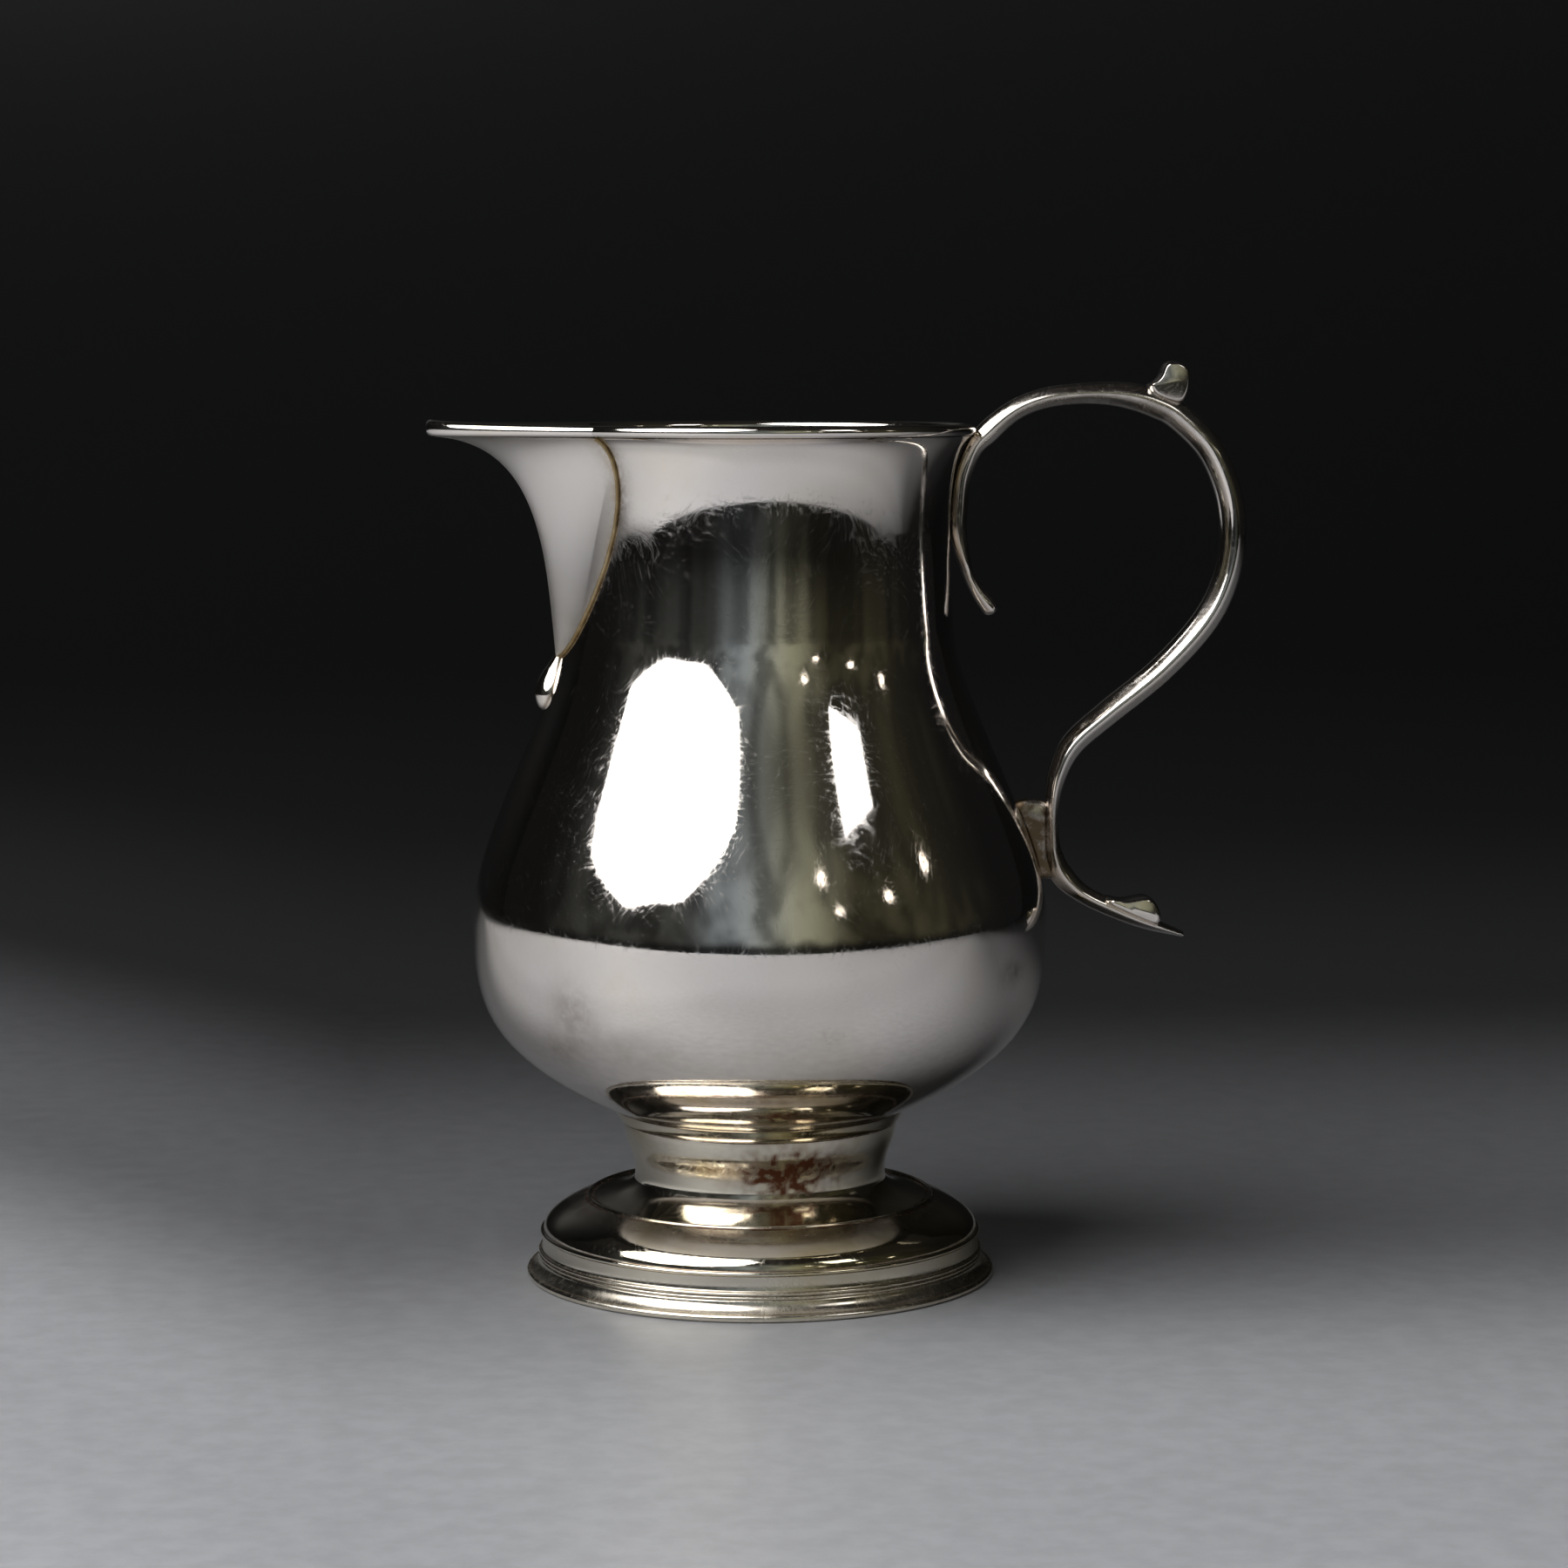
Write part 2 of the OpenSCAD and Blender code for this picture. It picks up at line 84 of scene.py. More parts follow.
def bezier(corners: Sequence[Sequence[float]], steps: int) -> Points:
    """Points on a cubic curve.

    Args:
        corners: the curve's four control points.
        steps: how many equal steps of its parameter.

    Returns:
        An array of steps + 1 points.
    """
    p = np.array(corners, float)
    t = np.linspace(0, 1, steps + 1)[:, None]
    s = 1 - t
    return s**3 * p[0] + 3 * s * s * t * p[1] + 3 * s * t * t * p[2] + t**3 * p[3]


def through(stations: Sequence[Sequence[float]], steps: int) -> Points:
    """A smooth run through stations of any number of values.

    Args:
        stations: the rows that the run passes through.
        steps: steps between two stations.

    Returns:
        An array of all rows, the stations included.
    """
    p = np.array(stations, float)
    rows = []
    for i in range(len(p) - 1):
        a, b, c, d = p[max(i - 1, 0)], p[i], p[i + 1], p[min(i + 2, len(p) - 1)]
        for j in range(steps):
            t = j / steps
            rows.append(
                (2 * b + (c - a) * t + (2 * a - 5 * b + 4 * c - d) * t**2
                 + (3 * b - a - 3 * c + d) * t**3) / 2
            )
    rows.append(p[-1])
    return np.array(rows)


def directions(path: Points) -> Points:
    """Unit tangents of a plane path, from each point's two neighbours.

    Args:
        path: the path's points, which start with their two values in the plane.

    Returns:
        A tangent for each point.
    """
    first = np.vstack([path[:1], path[:-1]])
    second = np.vstack([path[1:], path[-1:]])
    d = (second - first)[:, :2]
    return d / np.linalg.norm(d, axis=1)[:, None]


def beside(path: Points, distance: float) -> Points:
    """A plane path moved sideways, to the left of the way that it runs."""
    t = directions(path)
    return path[:, :2] + distance * np.stack([-t[:, 1], t[:, 0]], axis=1)


def eased(ring: Points, rounds: int) -> Points:
    """Cuts the corners of a closed ring and keeps its mirrored point order.

    Args:
        ring: an even number of points, where point i mirrors point n - 1 - i.
        rounds: how often the corners are cut.

    Returns:
        The eased ring, with twice the points for each round.
    """
    for _ in range(rounds):
        after = np.roll(ring, -1, axis=0)
        cut = np.stack([0.8 * ring + 0.2 * after, 0.2 * ring + 0.8 * after], axis=1)
        ring = np.roll(cut.reshape(-1, ring.shape[1]), 1, axis=0)
    return ring


def smooth_outline(points: Sequence[Sequence[float]], rounds: int = 3) -> Points:
    """Rounds the corners of a closed plane outline by cutting them again and again.

    Args:
        points: the outline's corners.
        rounds: how often the corners are cut.

    Returns:
        The rounded outline, with twice the points for each round.
    """
    ring = np.array(points, float)
    for _ in range(rounds):
        after = np.roll(ring, -1, axis=0)
        ring = np.stack([0.75 * ring + 0.25 * after, 0.25 * ring + 0.75 * after], axis=1)
        ring = ring.reshape(-1, 2)
    return ring


def around(radius: float, turn: Points, z: float) -> Points:
    """Points at a radius and a height, at given turns round the jug's axis."""
    return np.stack([radius * np.cos(turn), radius * np.sin(turn), np.full(len(turn), z)], axis=1)


# ---------------------------------------------------------------- meshes


def put(name: str, data: bpy.types.ID) -> bpy.types.Object:
    """Puts a mesh, a light or a camera into the scene.

    Args:
        name: the object's name.
        data: what it is made of.

    Returns:
        The linked object.
    """
    thing = bpy.data.objects.new(name, data)
    bpy.context.scene.collection.objects.link(thing)
    return thing


def make_piece(name: str, points: Points, faces: list, tarnish_and_shade: Points | None = None) -> bpy.types.Object:
    """Makes one closed piece at the origin from points in millimetres.

    Args:
        name: the piece's name.
        points: its points.
        faces: tuples of point numbers.
        tarnish_and_shade: how dark the metal is at each point, from tarnish and from painted shade, 0 to 1,
            or None.

    Returns:
        The linked object, with its faces outwards.
    """
    mesh = bpy.data.meshes.new(name)
    mesh.from_pydata((np.asarray(points) * MM).tolist(), [], faces)
    layer = mesh.attributes.new(TARNISH_AND_SHADE, "FLOAT", "POINT")
    if tarnish_and_shade is not None:
        layer.data.foreach_set("value", np.asarray(tarnish_and_shade, np.float32))
    finish_mesh(mesh)
    return put(name, mesh)


def finish_mesh(mesh: bpy.types.Mesh) -> None:
    """Merges doubles, turns the faces outwards and shades the mesh smooth.

    Args:
        mesh: the mesh to finish.
    """
    work = bmesh.new()
    work.from_mesh(mesh)
    bmesh.ops.remove_doubles(work, verts=work.verts, dist=CLOSE)
    bmesh.ops.dissolve_degenerate(work, edges=work.edges, dist=TINY)
    bmesh.ops.recalc_face_normals(work, faces=work.faces)
    if work.calc_volume(signed=True) < 0:
        bmesh.ops.reverse_faces(work, faces=work.faces)
    work.to_mesh(mesh)
    work.free()
    mesh.shade_smooth()
    mesh.set_sharp_from_angle(angle=math.radians(CREASE))


def darken(piece: bpy.types.Object, value: float) -> None:
    """Gives a whole piece one value of darkness, 0 to 1, which is tarnish on some pieces and painted shade
    on others.
    """
    mesh = piece.data
    mesh.attributes[TARNISH_AND_SHADE].data.foreach_set("value", np.full(len(mesh.vertices), value, np.float32))


def loft(name: str, rings: Sequence[Points], tarnish_and_shade: Callable | None = None) -> bpy.types.Object:
    """Joins rings into one closed piece; strips close both ends.

    Args:
        name: the piece's name.
        rings: rings of the same even number of points, first half mirroring the second half.
        tarnish_and_shade: gives the darkness of an array of points, from tarnish and from painted shade, or
            None.

    Returns:
        The piece.
    """
    n = len(rings[0])
    points = np.vstack(rings)
    faces = []
    for j in range(len(rings) - 1):
        for i in range(n):
            a, b = j * n + i, j * n + (i + 1) % n
            faces.append((a, a + n, b + n, b))
    last = (len(rings) - 1) * n
    for i in range(n // 2 - 1):
        strip = (i, i + 1, n - 2 - i, n - 1 - i)
        faces.append(strip)
        faces.append(tuple(last + k for k in reversed(strip)))
    return make_piece(name, points, faces, None if tarnish_and_shade is None else tarnish_and_shade(points))


def turned(name: str, outline: Sequence[Sequence[float]], tarnish_and_shade: Callable) -> bpy.types.Object:
    """Turns a closed outline of [radius, height] points round the jug's axis.

    Args:
        name: the piece's name.
        outline: the closed outline.
        tarnish_and_shade: gives the darkness of an array of points, from tarnish and from painted shade.

    Returns:
        The piece.
    """
    ring = np.array(outline, float)
    angles = np.linspace(0, 2 * np.pi, ROUND_STEPS, endpoint=False)
    points = np.array([(r * np.cos(a), r * np.sin(a), z) for a in angles for r, z in ring])
    n = len(ring)
    faces = []
    for j in range(ROUND_STEPS):
        k = (j + 1) % ROUND_STEPS
        for i in range(n):
            m = (i + 1) % n
            faces.append((j * n + i, j * n + m, k * n + m, k * n + i))
    return make_piece(name, points, faces, tarnish_and_shade(points))


def cushion(name: str, outline: Points, width: float, edge: float) -> bpy.types.Object:
    """A plate on the jug's middle plane with rounded edges.

    Args:
        name: the piece's name.
        outline: closed outline of [x, z] points.
        width: the plate's width across the jug.
        edge: how much smaller the plate's two faces are than its middle, as a share.

    Returns:
        The piece.
    """
    centre = outline.mean(axis=0)
    levels = np.sin(np.linspace(-0.5, 0.5, 19) * np.pi)
    rings = []
    for level in levels:
        rounded = math.sqrt(max(0.0, 1 - abs(level) ** 3))
        scale = 1 - edge * (1 - rounded)
        flat = centre + (outline - centre) * scale
        rings.append(np.stack([flat[:, 0], np.full(len(flat), level * width / 2), flat[:, 1]], axis=1))
    n = len(outline)
    faces = [tuple(range(n)), tuple(range((len(rings) - 1) * n, len(rings) * n))]
    for j in range(len(rings) - 1):
        for i in range(n):
            a, b = j * n + i, j * n + (i + 1) % n
            faces.append((a, b, b + n, a + n))
    return make_piece(name, np.vstack(rings), faces)


# ---------------------------------------------------------------- wire laid along a path


class WireSweep:
    """A wire of oval section laid along a path by Geometry Nodes."""

    def __init__(self) -> None:
        """Builds the node group once."""
        tree = bpy.data.node_groups.new("oval_wire_along_a_path", "GeometryNodeTree")
        sockets = tree.interface
        sockets.new_socket("Path", in_out="INPUT", socket_type="NodeSocketGeometry")
        for label, value in (("Width", 0.001), ("Height", 0.001)):
            sockets.new_socket(label, in_out="INPUT", socket_type="NodeSocketFloat").default_value = value
        sockets.new_socket("Sides", in_out="INPUT", socket_type="NodeSocketInt").default_value = WIRE_SIDES
        sockets.new_socket("Metal", in_out="INPUT", socket_type="NodeSocketMaterial")
        sockets.new_socket("Wire", in_out="OUTPUT", socket_type="NodeSocketGeometry")
        add, link = tree.nodes.new, tree.links.new
        given, out = add("NodeGroupInput"), add("NodeGroupOutput")
        curve, level = add("GeometryNodeMeshToCurve"), add("GeometryNodeSetCurveNormal")
        level.mode = "Z_UP"
        circle, shape = add("GeometryNodeCurvePrimitiveCircle"), add("GeometryNodeTransform")
        circle.inputs["Radius"].default_value = 0.5
        size, sweep = add("ShaderNodeCombineXYZ"), add("GeometryNodeCurveToMesh")
        size.inputs["Z"].default_value = 1.0
        sweep.inputs["Fill Caps"].default_value = True
        smooth, real, metal = (add("GeometryNodeSetShadeSmooth"), add("GeometryNodeRealizeInstances"),
                               add("GeometryNodeSetMaterial"))
        link(given.outputs["Path"], curve.inputs["Mesh"])
        link(curve.outputs["Curve"], level.inputs["Curve"])
        link(given.outputs["Sides"], circle.inputs["Resolution"])
        link(circle.outputs["Curve"], shape.inputs["Geometry"])
        link(given.outputs["Width"], size.inputs["X"])
        link(given.outputs["Height"], size.inputs["Y"])
        link(size.outputs["Vector"], shape.inputs["Scale"])
        link(level.outputs["Curve"], sweep.inputs["Curve"])
        link(shape.outputs["Geometry"], sweep.inputs["Profile Curve"])
        link(sweep.outputs["Mesh"], smooth.inputs["Geometry"])
        link(smooth.outputs["Geometry"], real.inputs["Geometry"])
        link(real.outputs["Geometry"], metal.inputs["Geometry"])
        link(given.outputs["Metal"], metal.inputs["Material"])
        link(metal.outputs["Geometry"], out.inputs["Wire"])
        self.tree = tree

    def lay(self, name: str, path: Points, width: float, height: float, metal: bpy.types.Material,
            closed: bool = False, darkness: float = 0.0) -> bpy.types.Object:
        """Lays one wire.

        Args:
            name: the piece's name.
            path: points of its middle line, in millimetres.
            width: its width across the path, seen from above.
            height: its height.
            metal: its material.
            closed: whether the path closes on itself.
            darkness: its tarnish, 0 to 1.

        Returns:
            The wire as a plain mesh piece.
        """
        edges = [(i, i + 1) for i in range(len(path) - 1)]
        if closed:
            edges.append((len(path) - 1, 0))
        line = bpy.data.meshes.new(name + "_path")
        line.from_pydata((path * MM).tolist(), edges, [])
        holder = put(name + "_path", line)
        modifier = holder.modifiers.new("wire", "NODES")
        modifier.node_group = self.tree
        ids = {item.name: item.identifier for item in self.tree.interface.items_tree
               if item.in_out == "INPUT"}
        modifier[ids["Width"]] = width * MM
        modifier[ids["Height"]] = height * MM
        modifier[ids["Sides"]] = WIRE_SIDES
        modifier[ids["Metal"]] = metal
        bpy.context.view_layer.update()
        ready = holder.evaluated_get(bpy.context.evaluated_depsgraph_get())
        mesh = bpy.data.meshes.new_from_object(ready)
        holder.modifiers.remove(modifier)
        bpy.data.objects.remove(holder)
        mesh.name = name
        mesh.attributes.new(TARNISH_AND_SHADE, "FLOAT", "POINT")
        finish_mesh(mesh)
        piece = put(name, mesh)
        darken(piece, darkness)
        return piece


# ---------------------------------------------------------------- finishes


class NodeKit:
    """Short calls for the shader nodes used here."""

    def __init__(self, tree: bpy.types.NodeTree) -> None:
        """Keeps the tree."""
        self.tree = tree

    def add(self, kind: str, data_type: str = "", **values: float) -> bpy.types.Node:
        """Adds a node and sets its named inputs.

        Args:
            kind: the node's type.
            data_type: what it works on, for the nodes that have a choice.
            values: plain values of its inputs.

        Returns:
            The node.
        """
        node = self.tree.nodes.new(kind)
        if data_type:
            node.data_type = data_type
        for label, value in values.items():
            node.inputs[label].default_value = value
        return node

    def link(self, source: Socket, target: Socket) -> None:
        """Links two sockets."""
        self.tree.links.new(source, target)

    def feed(self, value: object, socket: Socket) -> None:
        """Links a socket, or sets a plain value.

        Args:
            value: a socket or a plain value.
            socket: the input that takes it.
        """
        if isinstance(value, Socket):
            self.link(value, socket)
        else:
            socket.default_value = value

    def noise(self, place: Socket, scale: float, detail: float, roughness: float) -> Socket:
        """A noise value on given coordinates.

        Args:
            place: the coordinates.
            scale: waves per metre.
            detail: how many finer waves lie on them.
            roughness: how strong the finer waves are.

        Returns:
            The value, 0 to 1.
        """
        node = self.add("ShaderNodeTexNoise", Scale=scale, Detail=detail, Roughness=roughness)
        self.link(place, node.inputs["Vector"])
        return node.outputs[0]

    def ramp(self, value: Socket, low: float, high: float) -> Socket:
        """A value spread softly to 0..1.

        Args:
            value: the value.
            low: the value that becomes 0.
            high: the value that becomes 1.

        Returns:
            The spread value.
        """
        node = self.add("ShaderNodeMapRange")
        node.interpolation_type = "SMOOTHSTEP"
        node.inputs["From Min"].default_value = low
        node.inputs["From Max"].default_value = high
        self.link(value, node.inputs["Value"])
        return node.outputs["Result"]

    def math(self, operation: str, a: object, b: object = None, c: object = None,
             clamp: bool = False) -> Socket:
        """One sum.

        Args:
            operation: the kind of sum.
            a: its first value, a socket or a plain number.
            b: its second value, where it has one.
            c: its third value, where it has one.
            clamp: whether the result is kept within 0 to 1.

        Returns:
            The result.
        """
        node = self.add("ShaderNodeMath")
        node.operation = operation
        node.use_clamp = clamp
        for socket, value in zip(node.inputs, (a, b, c)):
            if value is not None:
                self.feed(value, socket)
        return node.outputs[0]

    def mix(self, share: object, a: object, b: object) -> Socket:
        """A mix of two colours.

        Args:
            share: how much of the second one there is.
            a: the first colour.
            b: the second colour.

        Returns:
            The mixed colour.
        """
        node = self.add("ShaderNodeMix", data_type="RGBA")
        self.feed(share, node.inputs[0])
        self.feed(a, node.inputs[6])
        self.feed(b, node.inputs[7])
        return node.outputs[2]

    def bump(self, height: Socket, size: float, before: Socket | None) -> Socket:
        """A bump, laid over an earlier one.

        Args:
            height: its pattern, 0 to 1.
            size: its height in millimetres.
            before: the normal under it, or None.

        Returns:
            The normal.
        """
        node = self.add("ShaderNodeBump", Strength=1.0, Distance=size * MM)
        self.link(height, node.inputs["Height"])
        if before is not None:
            self.link(before, node.inputs["Normal"])
        return node.outputs["Normal"]


# The three ways in which the polishing scratches run: a turn in radians, and how close
# the scratches lie along each axis, per metre.
SCRATCH_WAYS = ((0.4, (260, 2600, 1400)), (1.3, (2800, 300, 1500)), (2.3, (1700, 2400, 240)))


@dataclass(frozen=True)
class SilverFinish:
    """Old polished silver, with the marks that one sub-assembly shows.

    Attributes:
        name: the material's name.
        metal: colour of the clean metal.
        warm: colour of the thin yellow film that lies on it in patches.
        film: how much of that film there is.
        dirt_and_shade: colour of the tarnish in joints and recesses, and of the painted shade on some
            pieces.
        smooth: roughness of the best polished places.
        dull: roughness of the dullest places.
        scratches: height of the fine polishing scratches in millimetres.
        dents: height of the shallow hand-worked dents in millimetres.
        haze: how much the scratches roughen the surface.
        pits: height of the small pits in millimetres.
        blotches: strength of the brown tarnish patches.
    """

    name: str
    metal: Triple = (0.92, 0.865, 0.82)
    warm: Triple = (0.80, 0.70, 0.52)
    film: float = 0.35
    dirt_and_shade: Triple = (0.16, 0.115, 0.07)
    smooth: float = 0.02
    dull: float = 0.075
    scratches: float = 0.0004
    dents: float = 0.03
    haze: float = 0.055
    pits: float = 0.0
    blotches: float = 0.3

    def build(self) -> bpy.types.Material:
        """Builds the node material.

        Returns:
            The material, patterned on Object coordinates and on the attribute of tarnish and painted shade.
        """
        mat = bpy.data.materials.new(self.name)
        mat.use_nodes = True
        mat.node_tree.nodes.clear()
        kit = NodeKit(mat.node_tree)
        shader = kit.add("ShaderNodeBsdfPrincipled")
        shader.inputs["Metallic"].default_value = 1.0
        out = kit.add("ShaderNodeOutputMaterial")
        kit.link(shader.outputs["BSDF"], out.inputs["Surface"])
        place = kit.add("ShaderNodeTexCoord").outputs["Object"]
        brown = self.tarnish_and_shade(kit, place)
        colour = kit.mix(brown, self.clean_metal(kit, place), (*self.dirt_and_shade, 1))
        rough, normal = self.polish(kit, place, brown)
        kit.link(colour, shader.inputs["Base Color"])
        kit.link(normal, shader.inputs["Normal"])
        kit.link(rough, shader.inputs["Roughness"])
        return mat

    def clean_metal(self, kit: NodeKit, place: Socket) -> Socket:
        """Colour of the metal under its patches of yellow film.

        Args:
            kit: the material's nodes.
            place: the Object coordinates.

        Returns:
            The colour.
        """
        patches = kit.ramp(kit.noise(place, 55, 5, 0.6), 0.42, 0.72)
        share = kit.math("MULTIPLY", patches, self.film)
        return kit.mix(share, (*self.metal, 1), (*self.warm, 1))

    def tarnish_and_shade(self, kit: NodeKit, place: Socket) -> Socket:
        """How brown the metal is: patchy where the attribute is set, which holds tarnish in the joints and
        painted shade on some pieces, and in a few scattered spots.

        Args:
            kit: the material's nodes.
            place: the Object coordinates.

        Returns:
            The share of brown, 0 to 1.
        """
        given = kit.add("ShaderNodeAttribute")
        given.attribute_name = TARNISH_AND_SHADE
        patchy = kit.ramp(kit.noise(place, 420, 6, 0.65), 0.3, 0.62)
        # the attribute's darkness: tarnish in the joints, and painted shade where a piece paints it
        joint = kit.math("MULTIPLY", given.outputs["Fac"], kit.math("MULTIPLY_ADD", patchy, 0.75, 0.35))
        areas = kit.ramp(kit.noise(place, 48, 6, 0.7), 0.62, 0.74)
        specks = kit.ramp(kit.noise(place, 700, 4, 0.7), 0.4, 0.6)
        spots = kit.math("MULTIPLY", areas, specks)
        return kit.math("ADD", joint, kit.math("MULTIPLY", spots, self.blotches), clamp=True)

    def polish(self, kit: NodeKit, place: Socket, brown: Socket) -> tuple[Socket, Socket]:
        """Roughness and relief: worn polish, shallow dents, scratches, pits and fine grain.

        Args:
            kit: the material's nodes.
            place: the Object coordinates.
            brown: how brown the metal is, from tarnish and painted shade, which makes it duller.

        Returns:
            The roughness and the normal.
        """
        wear = kit.ramp(kit.noise(place, 130, 8, 0.65), 0.3, 0.75)
        rough = kit.math("MULTIPLY_ADD", wear, self.dull - self.smooth, self.smooth)
        rough = kit.math("ADD", rough, kit.math("MULTIPLY", brown, 0.28), clamp=True)
        normal = kit.bump(kit.noise(place, 75, 1, 0.4), self.dents, None)
        swirl = kit.add("ShaderNodeTexNoise", Scale=60, Detail=2)
        kit.link(place, swirl.inputs["Vector"])
        bend = 0.02
        for turn, stretch in SCRATCH_WAYS:
            bent = kit.add("ShaderNodeMix", data_type="VECTOR")
            bent.inputs["Factor"].default_value = bend
            kit.link(place, bent.inputs["A"])
            kit.link(swirl.outputs["Color"], bent.inputs["B"])
            way = kit.add("ShaderNodeMapping")
            way.inputs["Rotation"].default_value = (turn, 0.6 * turn, turn)
            way.inputs["Scale"].default_value = stretch
            kit.link(bent.outputs[1], way.inputs["Vector"])
            lines = kit.ramp(kit.noise(way.outputs["Vector"], 1, 3, 0.5), 0.52, 0.68)
            normal = kit.bump(lines, self.scratches, normal)
            rough = kit.math("MULTIPLY_ADD", lines, self.haze, rough)
        if self.pits:
            holes = kit.add("ShaderNodeTexVoronoi", Scale=620)
            kit.link(place, holes.inputs["Vector"])
            normal = kit.bump(kit.ramp(holes.outputs["Distance"], 0.05, 0.3), self.pits, normal)
        grain = kit.noise(place, 5200, 2, 0.5)
        return rough, kit.bump(grain, self.scratches * 0.6, normal)


BODY_FINISH = SilverFinish("body_metal")
SPOUT_FINISH = SilverFinish("spout_metal", film=0.4, smooth=0.03, dull=0.1, dirt_and_shade=(0.2, 0.14, 0.07))
BEAK_FINISH = SilverFinish("beak_metal", metal=(0.96, 0.91, 0.86), pits=0.002, film=0.25, smooth=0.33,
                           dull=0.38, dirt_and_shade=(0.34, 0.22, 0.085), haze=0.01, scratches=0.0002)
SOLDER_FINISH = SilverFinish("solder_metal", metal=(0.62, 0.5, 0.3), warm=(0.5, 0.36, 0.16), film=0.8,
                             dirt_and_shade=(0.2, 0.12, 0.04), smooth=0.25, dull=0.45)
FOOT_FINISH = SilverFinish("foot_metal", metal=(0.86, 0.8, 0.68), dirt_and_shade=(0.15, 0.055, 0.028),
                           warm=(0.62, 0.53, 0.3), film=0.9, smooth=0.03, dull=0.1, blotches=0.6,
                           dents=0.012)
BASE_FINISH = SilverFinish("base_metal", metal=(0.85, 0.79, 0.68), dirt_and_shade=(0.14, 0.09, 0.05),
                           warm=(0.66, 0.57, 0.38), film=0.8, smooth=0.1, dull=0.24, blotches=0.5,
                           scratches=0.0005, haze=0.05, dents=0.008)
HANDLE_FINISH = SilverFinish("handle_metal", film=0.4, smooth=0.035, dull=0.14, blotches=0.5, dents=0.02,
                             scratches=0.0008)


# ---------------------------------------------------------------- common


def dress(piece: bpy.types.Object, metal: bpy.types.Material, slot: Slot, *nodes: str) -> None:
    """Gives a piece its metal and its body, and hides the CAD nodes that it stands for.

    Args:
        piece: the finished piece.
        metal: its material.
        slot: the piece's material slot; not used.
        nodes: names of the CAD nodes that it replaces.
    """
    piece.data.materials.clear()
    piece.data.materials.append(metal)
    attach(piece, BODY)
    if nodes:
        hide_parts(*nodes)
    log.info("%s: %d faces, stands for %s", piece.name, len(piece.data.polygons), nodes)


def low(node: str) -> float:
    """Lowest height of a CAD node in millimetres."""
    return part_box(node)[0].z / MM


def high(node: str) -> float:
    """Greatest height of a CAD node in millimetres."""
    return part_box(node)[1].z / MM


def reach(node: str) -> float:
    """Greatest distance of a round CAD node from the axis in millimetres."""
    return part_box(node)[1].y / MM


# ---------------------------------------------------------------- body


@dataclass(frozen=True)
class Stain:
    """One tarnish stain on the body.

    Attributes:
        turn: its place round the body in degrees, 0 towards -Y and growing towards +X.
        level: its height on the body.
        wide: how far it spreads round the body, in degrees.
        tall: how far it spreads up and down.
        depth: how dark it is, 0 to 1.
    """

    turn: float
    level: float
    wide: float
    tall: float
    depth: float


